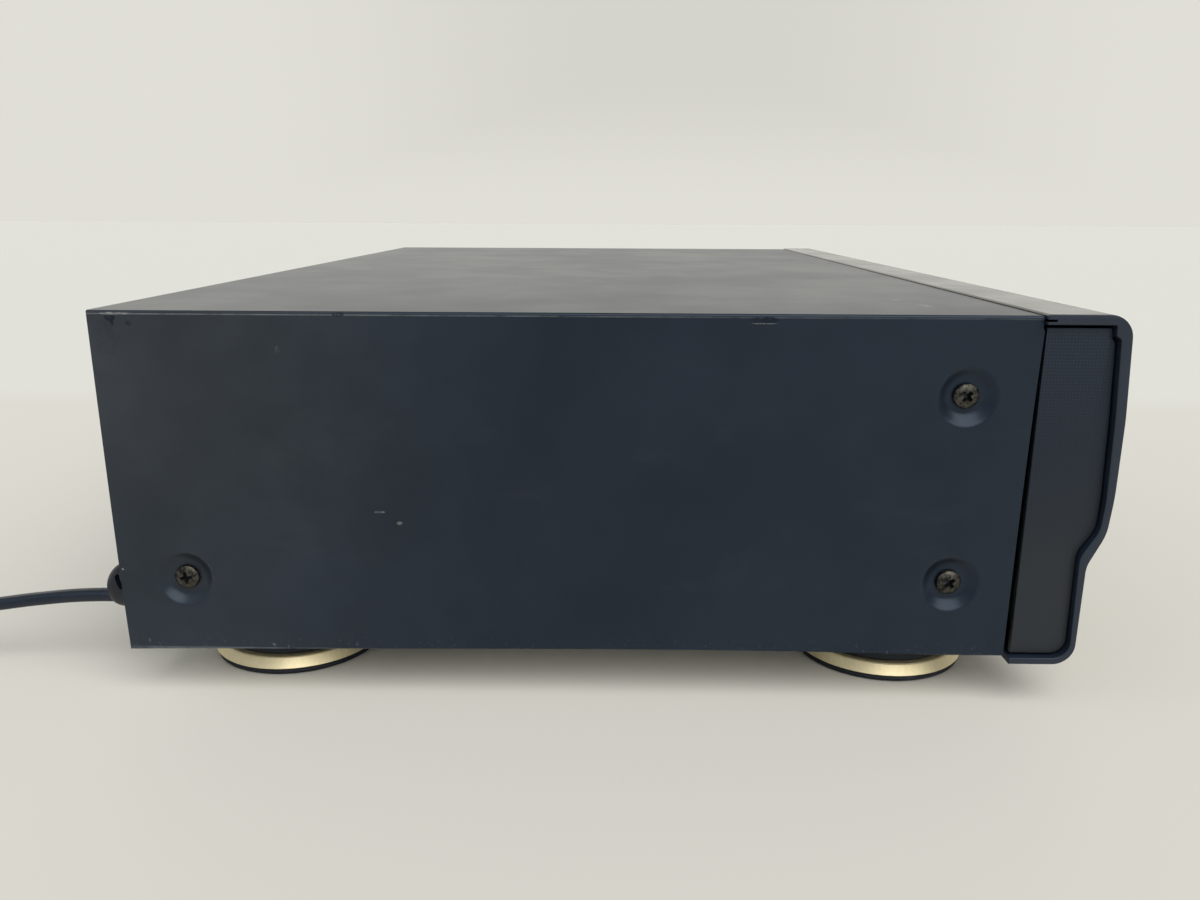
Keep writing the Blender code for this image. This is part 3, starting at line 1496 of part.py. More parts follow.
def belt_loop(grow):
    """The loop round both belt wheels, a distance outside their groove floors."""
    big = PULLEY_RADIUS - PULLEY_GROOVE + grow
    small = MOTOR_PULLEY_RADIUS - PULLEY_GROOVE + grow
    lean = math.acos((big - small) / BELT_RUN)
    points = []
    big_steps, small_steps = 16, 8
    (bx, by), (sx, sy) = pulley_centre(), motor_centre()
    for k in range(big_steps + 1):
        angle = lean + k / big_steps * (math.tau - 2 * lean)
        points.append((bx + big * math.cos(angle), by + big * math.sin(angle)))
    for k in range(small_steps + 1):
        angle = -lean + k / small_steps * 2 * lean
        points.append((sx + small * math.cos(angle), sy + small * math.sin(angle)))
    return points


def build_belt():
    middle = up(DECK_TOP) + FIT + PULLEY_LIFT + PULLEY_FACE / 2
    low, high = middle - BELT_THICKNESS / 2, middle + BELT_THICKNESS / 2
    inner, outer = belt_loop(FIT), belt_loop(FIT + BELT_THICKNESS)
    section = ((inner, low), (outer, low), (outer, high), (inner, high))
    rings = [[(x, y, z) for x, y in loop] for loop, z in section]
    paint(skin("loading_belt", rings, ring_shaped=True), "black_rubber")


def build_clamp():
    low = up(DECK_WALL_TOP) + FIT
    half = DECK_WIDTH / 2
    depth = BRIDGE_DEPTH / 2
    span, across = (MECH_X - half, MECH_X + half), (DISC_Y - depth, DISC_Y + depth)
    bridge = block("clamp_bridge", span, across, (low, low + BRIDGE_PLATE))
    for sign in (-1, 1):
        edge = DISC_Y + sign * depth
        inner = edge - sign * BRIDGE_PLATE
        fuse(
            bridge,
            block(
                "rib",
                (MECH_X - half + LEG_INSET, MECH_X + half - LEG_INSET),
                (min(edge, inner), max(edge, inner)),
                (low + LAP, low + BRIDGE_PLATE + BRIDGE_RIB),
            ),
        )
    reach = (low - OVERRUN, low + BRIDGE_PLATE + OVERRUN)
    cut(bridge, cylinder("eye", BRIDGE_HOLE_RADIUS, (MECH_X, DISC_Y), *reach, sides=FOOT_SIDES))
    paint(bridge, "zinc_steel")

    foot = up(PAN_HEIGHT + TABLE_RISE + PUCK_LIFT)
    cap = low + BRIDGE_PLATE + PUCK_CAP_CLEARANCE
    puck = turned(
        "clamp_puck",
        [
            (PUCK_RECESS_RADIUS, foot + PUCK_RECESS),
            (PUCK_RECESS_RADIUS, foot),
            (PUCK_RADIUS, foot),
            (PUCK_RADIUS, foot + PUCK_DISC),
            (PUCK_NECK_RADIUS, foot + PUCK_DISC + PUCK_SLOPE),
            (PUCK_NECK_RADIUS, cap),
            (PUCK_CAP_RADIUS, cap),
            (PUCK_CAP_RADIUS, cap + PUCK_CAP),
        ],
        (MECH_X, DISC_Y, 0),
        TABLE_SIDES,
    )
    paint(pivot_flat(smooth(puck), (MECH_X, DISC_Y)), "white_plastic")


# Optical base


def sled_rack_root():
    return MECH_X + SLED_HALF + SLED_RACK_SPINE


def sled_gear_centre():
    radius = SLED_GEAR_TEETH * SLED_MODULE / 2
    return (sled_rack_root() + DEDENDUM_SHARE * SLED_MODULE + radius, at(SLED_GEAR_DEPTH))


def sled_pinion_centre():
    x, y = sled_gear_centre()
    return (x, y + (SLED_GEAR_TEETH + SLED_PINION_TEETH) * SLED_MODULE / 2)


def build_optical_base():
    left, right = MECH_X - BASE_LEFT, MECH_X + BASE_RIGHT
    low, top = up(BASE_LOW), up(BASE_TOP)
    base = block("optical_base", (left, right), (at(BASE_FRONT), at(BASE_REAR)), (low, top))
    rod_z = top + ROD_RISE
    lug_top = low + ROD_LUG_HEIGHT + BASE_PLATE
    for sign in (-1, 1):
        x = MECH_X + sign * ROD_SPREAD
        for depth in (ROD_FRONT, ROD_REAR - ROD_LUG_DEPTH):
            fuse(
                base,
                block(
                    "rod_lug",
                    (x - ROD_LUG_WIDTH / 2, x + ROD_LUG_WIDTH / 2),
                    (at(depth), at(depth + ROD_LUG_DEPTH)),
                    (top - LAP, lug_top),
                ),
            )
        reach = (at(ROD_FRONT - OVERRUN), at(ROD_REAR + OVERRUN))
        cut(base, cylinder("rod_hole", ROD_RADIUS + FIT, (x, rod_z), *reach, "y", LEG_SIDES))
    y = at(TRUNNION_DEPTH)
    for edge, sign in ((left, -1), (right, 1)):
        start, stop = sorted((edge - sign * TRUNNION_RADIUS, edge + sign * TRUNNION_LENGTH))
        centre = (y, trunnion_height())
        fuse(base, cylinder("trunnion", TRUNNION_RADIUS, centre, start, stop, "x", LEG_SIDES))
    spot = sled_gear_centre()
    post_top = top + SLED_LIFT + SLED_RACK_LIFT + SLED_RACK_FACE + SHAFT_END
    fuse(base, cylinder("gear_post", ROD_RADIUS, spot, top - LAP, post_top, sides=LEG_SIDES))
    reach = (low - OVERRUN, top + OVERRUN)
    cut(base, cylinder("shaft_hole", SHAFT_HOLE_RADIUS, sled_pinion_centre(), *reach, sides=LEG_SIDES))
    paint(pivot(base, (MECH_X, y, trunnion_height())), "grey_plastic")

    for side, sign in side_signs():
        spot = (MECH_X + sign * ROD_SPREAD, rod_z)
        rod = cylinder(f"guide_rod_{side}", ROD_RADIUS, spot, at(ROD_FRONT), at(ROD_REAR), "y", LEG_SIDES)
        paint(smooth(rod), "zinc_steel")


def build_spindle():
    low = up(BASE_TOP) + FIT
    top = low + SPINDLE_MOTOR_HEIGHT
    platform = up(PAN_HEIGHT + TABLE_RISE)
    motor = turned(
        "spindle_motor",
        [
            (SPINDLE_MOTOR_RADIUS, low),
            (SPINDLE_MOTOR_RADIUS, top),
            (SPINDLE_BOSS_RADIUS, top),
            (SPINDLE_BOSS_RADIUS, top + SPINDLE_BOSS),
            (SHAFT_RADIUS, top + SPINDLE_BOSS),
            (SHAFT_RADIUS, platform + TABLE_HUB_RISE - SHAFT_END),
        ],
        (MECH_X, DISC_Y, 0),
        FOOT_SIDES,
    )
    paint(smooth(motor), "zinc_steel")
    underside = platform - TABLE_THICKNESS
    table = turned(
        "turntable",
        [
            (BORE_RADIUS, underside - TABLE_BOSS),
            (TABLE_BOSS_RADIUS, underside - TABLE_BOSS),
            (TABLE_BOSS_RADIUS, underside),
            (TABLE_RADIUS, underside),
            (TABLE_RADIUS, platform),
            (TABLE_HUB_RADIUS, platform),
            (TABLE_HUB_RADIUS - TABLE_HUB_TAPER, platform + TABLE_HUB_RISE),
            (BORE_RADIUS, platform + TABLE_HUB_RISE),
        ],
        (MECH_X, DISC_Y, 0),
        TABLE_SIDES,
        bored=True,
    )
    paint(pivot_flat(smooth(table), (MECH_X, DISC_Y)), "black_plastic")


def build_sled():
    low = up(BASE_TOP + SLED_LIFT)
    top = low + SLED_HEIGHT
    front = at(SLED_BACK_OF_MOTOR)
    sled = block(
        "lens_sled", (MECH_X - SLED_HALF, MECH_X + SLED_HALF), (front, front + SLED_LENGTH), (low, top)
    )
    rack_low = low + SLED_RACK_LIFT
    rack = rack_outline(
        SLED_MODULE,
        at(SLED_GEAR_DEPTH - SLED_TRAVEL - SLED_RACK_SPARE),
        at(SLED_GEAR_DEPTH + SLED_RACK_SPARE),
        at(SLED_GEAR_DEPTH),
        sled_rack_root(),
        SLED_RACK_SPINE + OVERRUN,
    )
    lens = (MECH_X, DISC_Y + LENS_OFFSET)
    holder_top = top + LENS_HOLDER_HEIGHT
    well_floor = holder_top - LENS_WELL_DEPTH
    fuse(
        sled,
        slab("rack", rack, "z", rack_low, rack_low + SLED_RACK_FACE),
        cylinder("holder", LENS_HOLDER_RADIUS, lens, top - LAP, holder_top, sides=FOOT_SIDES),
    )
    cut(sled, cylinder("lens_well", LENS_WELL_RADIUS, lens, well_floor, holder_top + OVERRUN))
    rod_z = up(BASE_TOP) + ROD_RISE
    for sign in (-1, 1):
        spot = (MECH_X + sign * ROD_SPREAD, rod_z)
        reach = (front - SLED_LENGTH, front + 2 * SLED_LENGTH)
        cut(sled, cylinder("rod_bore", ROD_RADIUS + RUN, spot, *reach, "y", LEG_SIDES))
    paint(sled, "grey_plastic")

    foot = well_floor + LENS_TRAVEL + FIT
    lens_piece = turned(
        "objective_lens",
        [
            (LENS_RADIUS, foot),
            (LENS_RADIUS, foot + LENS_HEIGHT),
            *crown(LENS_RADIUS, foot + LENS_HEIGHT, LENS_CROWN),
        ],
        (*lens, 0),
        ROUND_SIDES,
    )
    paint(smooth(lens_piece), "lens_glass")

    face = (rack_low, rack_low + SLED_RACK_FACE)
    spot = sled_gear_centre()
    phase = math.pi
    gear = bored_gear("sled_gear", SLED_GEAR_TEETH, SLED_MODULE, spot, phase, *face, ROD_RADIUS + FIT)
    paint(pivot_flat(gear, spot), "white_plastic")
    spot = sled_pinion_centre()
    phase = mating_phase(SLED_GEAR_TEETH, phase, SLED_PINION_TEETH, math.pi / 2)
    pinion = bored_gear("sled_pinion", SLED_PINION_TEETH, SLED_MODULE, spot, phase, *face, BORE_RADIUS)
    paint(pivot_flat(pinion, spot), "white_plastic")

    motor_top = up(BASE_LOW) - FIT
    motor = turned(
        "sled_motor",
        [
            (SLED_MOTOR_RADIUS, motor_top - SLED_MOTOR_HEIGHT),
            (SLED_MOTOR_RADIUS, motor_top),
            (SHAFT_RADIUS, motor_top),
            (SHAFT_RADIUS, face[1] + SHAFT_END),
        ],
        (*spot, 0),
        FOOT_SIDES,
    )
    paint(smooth(motor), "zinc_steel")


# Cord


def build_bush():
    neck = BUSH_NECK_RADIUS
    inner_face = PANEL_INNER - FIT
    outer_face = PANEL_FACE + FIT
    swell = BUSH_REACH - FIT - BUSH_SHOULDER
    turns = [k / BUSH_DOME_STEPS * math.pi / 2 for k in range(BUSH_DOME_STEPS + 1)]
    dome = [
        (
            BUSH_END_RADIUS + (BUSH_RADIUS - BUSH_END_RADIUS) * math.cos(turn),
            outer_face + BUSH_SHOULDER + swell * math.sin(turn),
        )
        for turn in turns
    ]
    bush = turned(
        "cord_bush",
        [
            (BUSH_INNER_RADIUS, inner_face - BUSH_INNER),
            (BUSH_INNER_RADIUS, inner_face),
            (neck, inner_face),
            (neck, outer_face),
            (BUSH_RADIUS, outer_face),
            *dome,
        ],
        (BUSH_X, COVER_FRONT, up(BUSH_HEIGHT)),
        BUSH_SIDES,
        "y",
    )
    paint(smooth(bush), "black_plastic")


def smooth_route(points, step):
    """Points along a smooth curve through the given ones, about a step apart, with both ends kept."""
    knots = np.array(points, float)
    ends = np.vstack([2 * knots[0] - knots[1], knots, 2 * knots[-1] - knots[-2]])
    fine = []
    for k in range(1, len(ends) - 2):
        p0, p1, p2, p3 = ends[k - 1 : k + 3]
        t = np.linspace(0, 1, ROUTE_STEPS, endpoint=False)[:, None]
        bend = 2 * p0 - 5 * p1 + 4 * p2 - p3
        twist = 3 * p1 - p0 - 3 * p2 + p3
        fine.append((2 * p1 + (p2 - p0) * t + bend * t**2 + twist * t**3) / 2)
    fine = np.vstack([*fine, knots[-1:]])
    along = np.concatenate([[0], np.cumsum(np.linalg.norm(np.diff(fine, axis=0), axis=1))])
    count = max(2, round(along[-1] / step) + 1)
    places = np.linspace(0, along[-1], count)
    return np.stack([np.interp(places, along, fine[:, axis]) for axis in range(3)], axis=1)


def tube(name, points, diameter, resolution):
    """A round tube along points, as a curve with a bevel and filled ends."""
    data = bpy.data.curves.new(name, "CURVE")
    data.dimensions = "3D"
    data.bevel_depth = diameter / 2
    data.bevel_resolution = resolution
    data.use_fill_caps = True
    spline = data.splines.new("POLY")
    spline.points.add(len(points) - 1)
    for slot, point in zip(spline.points, points):
        slot.co = (*point, 1)
    obj = bpy.data.objects.new(name, data)
    bpy.context.collection.objects.link(obj)
    return obj


def coil_points():
    """Two layers of turns, in along the ground and out on top, then a short tail to the plug."""
    turns_in = COIL_TURNS / 2
    count = round(COIL_TURNS * COIL_STEPS)
    turn = np.linspace(0, COIL_TURNS, count + 1)
    radius = COIL_INNER_RADIUS + np.abs(turn - turns_in) * COIL_PITCH
    climb = np.clip((turn - turns_in) * 2 + 1 / 2, 0, 1)
    rise = COIL_PITCH * climb**2 * (3 - 2 * climb)
    angle = math.pi - math.tau * turn
    wound = np.stack(
        [COIL_X + radius * np.cos(angle), COIL_Y + radius * np.sin(angle), CORD_GROUND + rise], axis=1
    )
    outer = radius[-1]
    top = CORD_GROUND + COIL_PITCH
    drop = top - PLUG_THICKNESS / 2
    tail = []
    for along in np.linspace(CORD_DIAMETER, TAIL_LENGTH, TAIL_POINTS):
        share = min(max((along - TAIL_EASE_START) / (TAIL_EASE_END - TAIL_EASE_START), 0), 1)
        tail.append((COIL_X + along, COIL_Y + outer, top - drop * share**2 * (3 - 2 * share)))
    start = wound[0] - np.array([0, CORD_DIAMETER, 0])
    return np.vstack([start, wound, tail])


def least_gap(points, diameter):
    """The least free space between stretches of a tube that are more than four diameters apart along it."""
    along = np.concatenate([[0], np.cumsum(np.linalg.norm(np.diff(points, axis=0), axis=1))])
    samples = np.linspace(0, along[-1], round(along[-1] / (diameter / 3)))
    fine = np.stack([np.interp(samples, along, points[:, axis]) for axis in range(3)], axis=1)
    apart = np.linalg.norm(fine[:, None] - fine[None], axis=2)
    near = np.abs(samples[:, None] - samples[None]) < 4 * diameter
    apart[near] = np.inf
    return apart.min() - diameter


def build_cord():
    lead = smooth_route(LEAD_ROUTE, CORD_STEP_DIAMETERS * CORD_DIAMETER)
    paint(tube("mains_lead", lead, CORD_DIAMETER, 2), "black_lead")
    wound = coil_points()
    paint(tube("mains_coil", wound, CORD_DIAMETER, 1), "black_lead")
    lengths = [float(np.linalg.norm(np.diff(p, axis=0), axis=1).sum()) for p in (lead, wound)]
    print("cord: lead and coil lengths", [round(length, 4) for length in lengths])
    print("cord: least gap in the coil, mm", round(float(least_gap(wound, CORD_DIAMETER)) * 1000, 3))


def build_plug():
    y = COIL_Y + COIL_OUTER_RADIUS
    z = PLUG_THICKNESS / 2 + PLUG_LIFT
    start = COIL_X + TAIL_LENGTH + FIT
    body = start + PLUG_NECK
    front = body + PLUG_LENGTH
    neck = 2 * PLUG_NECK_RADIUS
    sections = [(start, neck, neck), (body - PLUG_NECK_RADIUS, neck, neck)]
    sections += [(body + a * PLUG_LENGTH, b * PLUG_WIDTH, c * PLUG_THICKNESS) for a, b, c in PLUG_SHARES]
    sections.append((front, PLUG_FRONT_WIDTH, PLUG_THICKNESS))
    rings = []
    for x, wide, tall in sections:
        outline = rectangle(wide, tall, tall * PLUG_CORNER_SHARE, (y, z), CORNER_STEPS)
        rings.append([(x, a, b) for a, b in outline])
    plug = skin("mains_plug", rings)
    for sign in (-1, 1):
        spot = (y + sign * PIN_SPREAD, z)
        fuse(plug, cylinder("pin", PIN_RADIUS, spot, front - OVERRUN, front + PIN_LENGTH, "x", LEG_SIDES))
    paint(plug, "black_plastic")


def build_all():
    clear_scene()
    for step in (
        build_cover, build_cover_screws, build_fascia, build_end_caps, build_chassis, build_rear_panel,
        build_feet, build_buttons, build_display, build_front_board, build_level_knob,
        build_headphone_socket, build_line_out, build_optical_output, build_transformer, build_main_board,
        build_tray, build_tray_front, build_mechanism_frame, build_loading_train, build_belt, build_clamp,
        build_optical_base, build_spindle, build_sled, build_bush, build_cord, build_plug,
    ):
        step()
    bpy.context.view_layer.update()


build_all()
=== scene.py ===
"""A full-width disc player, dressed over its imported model. Metres, +Z up, the front faces -Y."""

import math

import bmesh
import bpy
import numpy as np
from bpy.props import FloatProperty, FloatVectorProperty, PointerProperty
from bpy.types import Operator, Panel, PropertyGroup
from mathutils import Matrix, Vector


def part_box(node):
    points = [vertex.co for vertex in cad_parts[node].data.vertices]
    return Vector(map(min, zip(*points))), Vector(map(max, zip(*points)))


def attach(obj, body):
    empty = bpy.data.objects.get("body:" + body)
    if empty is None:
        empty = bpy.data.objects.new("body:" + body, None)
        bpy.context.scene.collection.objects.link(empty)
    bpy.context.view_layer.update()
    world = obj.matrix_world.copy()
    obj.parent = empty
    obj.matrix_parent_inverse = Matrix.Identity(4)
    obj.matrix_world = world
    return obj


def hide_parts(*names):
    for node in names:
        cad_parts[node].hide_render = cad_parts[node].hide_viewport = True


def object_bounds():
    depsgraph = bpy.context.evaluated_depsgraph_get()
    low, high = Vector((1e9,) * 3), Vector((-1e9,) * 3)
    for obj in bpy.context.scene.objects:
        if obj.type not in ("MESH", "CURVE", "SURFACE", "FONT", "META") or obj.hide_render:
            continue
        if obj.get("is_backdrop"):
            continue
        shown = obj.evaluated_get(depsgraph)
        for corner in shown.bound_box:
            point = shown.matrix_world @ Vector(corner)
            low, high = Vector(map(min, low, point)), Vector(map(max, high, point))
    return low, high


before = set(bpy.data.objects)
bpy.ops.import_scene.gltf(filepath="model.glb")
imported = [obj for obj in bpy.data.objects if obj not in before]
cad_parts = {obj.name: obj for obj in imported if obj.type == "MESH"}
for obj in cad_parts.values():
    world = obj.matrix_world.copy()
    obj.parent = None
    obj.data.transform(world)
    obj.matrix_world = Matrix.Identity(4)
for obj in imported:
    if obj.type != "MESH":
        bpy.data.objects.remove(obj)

CAD_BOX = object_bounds()

bl_info = {
    "name": "Disc Player",
    "version": (1, 0, 0),
    "blender": (4, 5, 0),
    "location": "3D View > Sidebar > Disc Player",
    "description": "Makes a full-width disc player with its drawer, display, feet and mains lead",
    "category": "Add Mesh",
}

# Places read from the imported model
COVER_LOW, COVER_HIGH = (np.array(corner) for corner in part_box("top_cover"))
FASCIA_LOW, FASCIA_HIGH = (np.array(corner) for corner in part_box("front_fascia"))
COVER_HALF = COVER_HIGH[0]
COVER_FRONT = COVER_LOW[1]
CASE_FOOT = COVER_LOW[2]
FASCIA_HALF = FASCIA_HIGH[0]
PANEL_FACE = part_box("rear_panel")[1][1]

# Tops of the cover and the fascia, where the photograph puts them over the solids' own
COVER_TOP = COVER_HIGH[2] + 0.0006
FASCIA_TOP = FASCIA_HIGH[2] + 0.0003

# Gap beside a fixed piece, gap beside a moving one, and how near two points are that become one
FIT = 0.0003
RUN = 0.0004
MERGE = 0.000001

# Angles past which an edge is left sharp
SHARP_DEGREES = 32
RING_SHARP_DEGREES = 15

# Put before each finish's name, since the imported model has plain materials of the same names
FINISH_PREFIX = "worked_"

# Tint and level of the gloss on coats and plastics, colours of dust (also a painted sheen) and of wear (bare
# steel also a painted highlight), and pitches of repeated marks
STEEL_SHEEN = (0.66, 0.82, 1.0, 1.0)
SOFT_GLOSS = 0.36
DUST = (0.16, 0.16, 0.155)
BARE_STEEL_AND_HIGHLIGHT = (0.17, 0.18, 0.19)
DARK_CHIP = (0.002, 0.003, 0.008)
LIGHT_CHIP = (0.24, 0.24, 0.23)
PIP_PITCH = 0.00095
PLATE_PITCH = 0.0007
WRAP_PITCH = 0.006
WINDING_REACH = 0.008

# Marks on the cover: middle, radius, how much each axis counts, and strength
COVER_DENTS = (
    ((-0.2150, -0.0514, 0.1196), 0.0011, (1, 0.26, 1), 1.0),
    ((-0.2150, 0.0709, 0.1205), 0.0008, (1, 0.40, 1), 0.9),
    ((-0.2150, 0.1370, 0.1192), 0.0009, (1, 0.5, 0.8), 0.9),
    ((-0.2150, 0.1366, 0.1179), 0.0006, (1, 1, 0.5), 0.9),
    ((-0.2150, 0.1318, 0.1176), 0.0008, (1, 0.7, 1), 0.6),
    ((-0.2150, 0.1385, 0.1135), 0.0045, (1, 1, 0.8), 0.20),
)
COVER_MARKS = (
    ((-0.2150, -0.0514, 0.1186), 0.0002, (1, 0.05, 1), 0.45),
    ((-0.2150, 0.1356, 0.1204), 0.0004, (1, 0.08, 1), 1.0),
    ((-0.2150, 0.0620, 0.0610), 0.0004, (1, 0.22, 1), 0.45),
    ((-0.2150, 0.0561, 0.0575), 0.0004, (1, 0.4, 0.7), 0.45),
    ((-0.2150, 0.0893, 0.1101), 0.0008, (1, 1, 0.6), 0.10),
    ((-0.2150, 0.1425, 0.0418), 0.0004, (1, 1, 1), 1.0),
    ((-0.2150, 0.0975, 0.0170), 0.0004, (1, 0.6, 1), 0.45),
    ((-0.2150, 0.1369, 0.0180), 0.0004, (1, 1, 0.6), 0.40),
    ((-0.1650, 0.1207, 0.1213), 0.0050, (0.5, 0.35, 1), 0.16),
    ((-0.0766, 0.0667, 0.1213), 0.0040, (0.3, 0.4, 1), 0.14),
    ((-0.1881, -0.1055, 0.1213), 0.0022, (0.40, 1, 1), 0.40),
    ((-0.1700, -0.1010, 0.1213), 0.0016, (0.50, 1, 1), 0.30),
    ((-0.1800, -0.0720, 0.1213), 0.0040, (0.60, 0.5, 1), 0.12),
)

# Controls and boards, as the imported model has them
BAND_HEIGHT = 0.030
BUTTON_FLANGE = 0.0012
BUTTON_CORNER = 0.0015
KNOB_X = -0.178
JACK_X = -0.150
BOARD_THICKNESS = 0.0016
MAIN_BOARD_HEIGHT = 0.012
SIGNED_BUTTONS = ("power_button", "open_close_button")
BUTTONS = SIGNED_BUTTONS + (
    "skip_back_button", "skip_forward_button", "stop_button", "pause_button", "play_button",
)

# The camera, solved from corners of the cover in the photograph, and the lamp
CAMERA_SPOT = (-0.4870, -0.0082, 0.1509)
CAMERA_PITCH = 14.422
CAMERA_YAW = 0.789
CAMERA_ROLL = 0.267
CAMERA_LENS = 28.455
CAMERA_SENSOR = 36.0
LAMP_FROM = (-0.60, -0.30, 0.74)
LAMP_TONE = (1.0, 0.985, 0.955)

# Side profiles of the fascia's shell and its end caps: corners as shares of its depth and height, and radii
FASCIA_DEPTH = 0.0263
FASCIA_HEIGHT = 0.1076
OUTER_CORNER_SHARES = (
    (0.006, 1.0000), (0.040, 1.0028), (0.925, 1.003), (0.990, 0.720), (0.995, 0.500),
    (0.962, 0.395), (0.784, 0.300), (0.786, 0.000), (0.030, 0.000),
)
OUTER_RADII = (0.0001, 0.0006, 0.0070, 0.090, 0.090, 0.0160, 0.0090, 0.0066, 0.0)
INNER_CORNER_SHARES = (
    (0.010, 0.975), (0.752, 0.975), (0.762, 0.947), (0.818, 0.938), (0.872, 0.730),
    (0.902, 0.490), (0.880, 0.405), (0.694, 0.326), (0.725, 0.019), (0.030, 0.019),
)
INNER_RADII = (0.0, 0.0004, 0.0004, 0.0012, 0.090, 0.050, 0.0100, 0.0080, 0.0052, 0.0)
CAP_CORNER_SHARES = (
    (0.042, 0.966), (0.749, 0.966), (0.761, 0.937), (0.797, 0.928), (0.846, 0.715),
    (0.877, 0.500), (0.866, 0.405), (0.683, 0.337), (0.703, 0.027), (0.061, 0.027),
)
CAP_RADII = (0.0, 0.0004, 0.0004, 0.0008, 0.090, 0.050, 0.0085, 0.0070, 0.0048, 0.0)
PROFILE_STEPS = 10
PROFILE_HOLD = 0.0003

# Face of the set-back band that carries the knob, the headphone socket and the lower buttons
BAND_SHARE = 0.783
BAND_FACE = COVER_FRONT - BAND_SHARE * FASCIA_DEPTH

# Flat strip beside each of the cover's folds, and how far its screws are seated in from its sides
FOLD_HOLD = 0.0002
SCREW_SEAT = 0.0022

# The cover's mesh: reach and step of its fine part round a dimple, and its step elsewhere
DIMPLE_REACH = 0.0094
FINE_STEP = 0.0004
COARSE_STEP = 0.006

# Rounding of the shell's and the caps' ends, gap round the drawer's flap, and where cuts through the front
# wall begin and end before the cover's edge. The cover hooks into the groove under the shell's top, which
# is given in y from the cover's front edge and z from the shell's top.
SHELL_EDGE = 0.0003
CAP_EDGE = 0.00025
FLAP_GAP = 0.0005
CUT_DEPTHS = (0.0283, 0.0095)
HOOK_GROOVE = ((-0.0029, -0.0021), (0.002, -0.0021), (0.002, -0.0014), (-0.0029, -0.0014))

# Turned profiles of foot and ring, radius and height: the foot's hollow, sole, waist and seat
FOOT_PROFILE = (
    (0, 0.0046), (0.0052, 0.0046), (0.0052, 0.0010), (0.0056, 0.0006), (0.0185, 0.0006),
    (0.0190, 0.0001), (0.0272, 0.0000), (0.0280, 0.0005), (0.0282, 0.0012), (0.0280, 0.0018),
    (0.0274, 0.0020), (0.0220, 0.0020), (0.0220, 0.0062), (0.0249, 0.0062), (0.0255, 0.0068),
    (0.0255, 0.0149), (0.0251, 0.0153), (0.0040, 0.0153),
)
RING_PROFILE = (
    (0.0223, 0.0023), (0.0284, 0.0023), (0.0287, 0.0026),
    (0.0270, 0.0056), (0.0266, 0.0059), (0.0223, 0.0059),
)

# Screws: shank of the cover's, head's radius and shank of the rear panel's and the feet's, and where the
# feet's are seated
COVER_SHANK = 0.007
REAR_SCREW = (0.0030, 0.0035)
FOOT_SCREW = (0.0040, 0.002)
FOOT_SCREW_SEAT = 0.0047

# Buttons: how far they stand proud, the front wall behind, then depth, growth and corner radius of the
# sections from the dished face to the wall, and of the flange behind it
BUTTON_PROUD = 0.0013
FRONT_WALL = 0.0023
BUTTON_FACE = (
    (0.00035, -0.0050, 0.0006), (0.00020, -0.0030, 0.0010), (0.00005, -0.0016, 0.0012), (0, -0.0010, 0.0012),
    (0.00008, -0.0005, 0.0014), (0.00030, -0.0001, 0.0015), (0.00055, 0, 0.0015),
)
BUTTON_FOOT = ((0, 0, 0.0015), (0.0002, 0.0018, 0.0022), (0.0012, 0.0022, 0.0022))
KNOB_FLUTES = 36
FLUTE_DEPTH = 0.00022

# Unlit digits: one number for pitch and height, and a digit's bars: across, up, and whether one is upright
DIGIT_PITCH = 0.0105
SEGMENTS = ((0, 1, 0), (0, 0, 0), (0, -1, 0), (-1, 0.5, 1), (1, 0.5, 1), (-1, -0.5, 1), (1, -0.5, 1))

# The plug, the length of lead that is hidden in the bush, and the points that follow one turn of the coil
PLUG_NECK = 0.012
PLUG_WIDTH = 0.0280
PIN_LENGTH = 0.019
PIN_OFFSET = 0.0095
LEAD_IN_BUSH = 0.008
STEPS_A_TURN = 48

# Free stretch of the mains lead, from the bush to the start of the coil
LEAD_ROUTE = (
    (-0.1930, 0.1625, 0.0244), (-0.1930, 0.1680, 0.0242), (-0.1930, 0.1740, 0.0238),
    (-0.1931, 0.1810, 0.0231), (-0.1933, 0.1880, 0.0223), (-0.1937, 0.1950, 0.0214),
    (-0.1944, 0.2025, 0.0204), (-0.1956, 0.2100, 0.0190), (-0.1974, 0.2175, 0.0169),
    (-0.1998, 0.2250, 0.0140), (-0.2026, 0.2325, 0.0108), (-0.2057, 0.2400, 0.0078),
    (-0.2088, 0.2475, 0.0053), (-0.2115, 0.2550, 0.0036), (-0.2134, 0.2625, 0.00285),
    (-0.2143, 0.2690, 0.00265), (-0.2144, 0.2735, 0.00265), (-0.2144, 0.2791, 0.00265),
)


def length(label, value, about):
    """A size in metres that a user may change."""
    return FloatProperty(name=label, description=about, default=value, min=0.0, precision=5, unit="LENGTH")


def tone(label, value, about):
    """A colour that a user may change."""
    return FloatVectorProperty(
        name=label, description=about, default=value, size=3, min=0.0, max=1.0, subtype="COLOR"
    )


class PlayerCase(PropertyGroup):
    """Sizes of the case."""

    sheet: length("Sheet", 0.0009, "Thickness of the cover's steel")
    bend: length("Bend", 0.0008, "Outer radius of the cover's folds")
    dimple: length("Dimple", 0.0094, "Radius of the embossing round a cover screw")
    dimple_floor: length("Dimple floor", 0.0042, "Radius of the embossing's flat floor")
    dimple_depth: length("Dimple depth", 0.0023, "Depth of the embossing")
    screw_head: length("Screw head", 0.0038, "Radius of a cover screw's head")


class PlayerCord(PropertyGroup):
    """Sizes of the mains lead."""

    width: length("Width", 0.0052, "Width of the flat lead")
    thickness: length("Thickness", 0.0040, "Thickness of the flat lead")
    coil_radius: length("Coil radius", 0.0210, "Inner radius of the put-away coil")
    coil_pitch: length("Coil pitch", 0.0058, "From one turn to the next")
    coil_turns: FloatProperty(name="Coil turns", description="Turns in the coil", default=7.25, min=1)
    tail: length("Tail", 0.030, "From the coil to the plug")
    plug_thickness: length("Plug thickness", 0.0137, "Thickness of the plug")


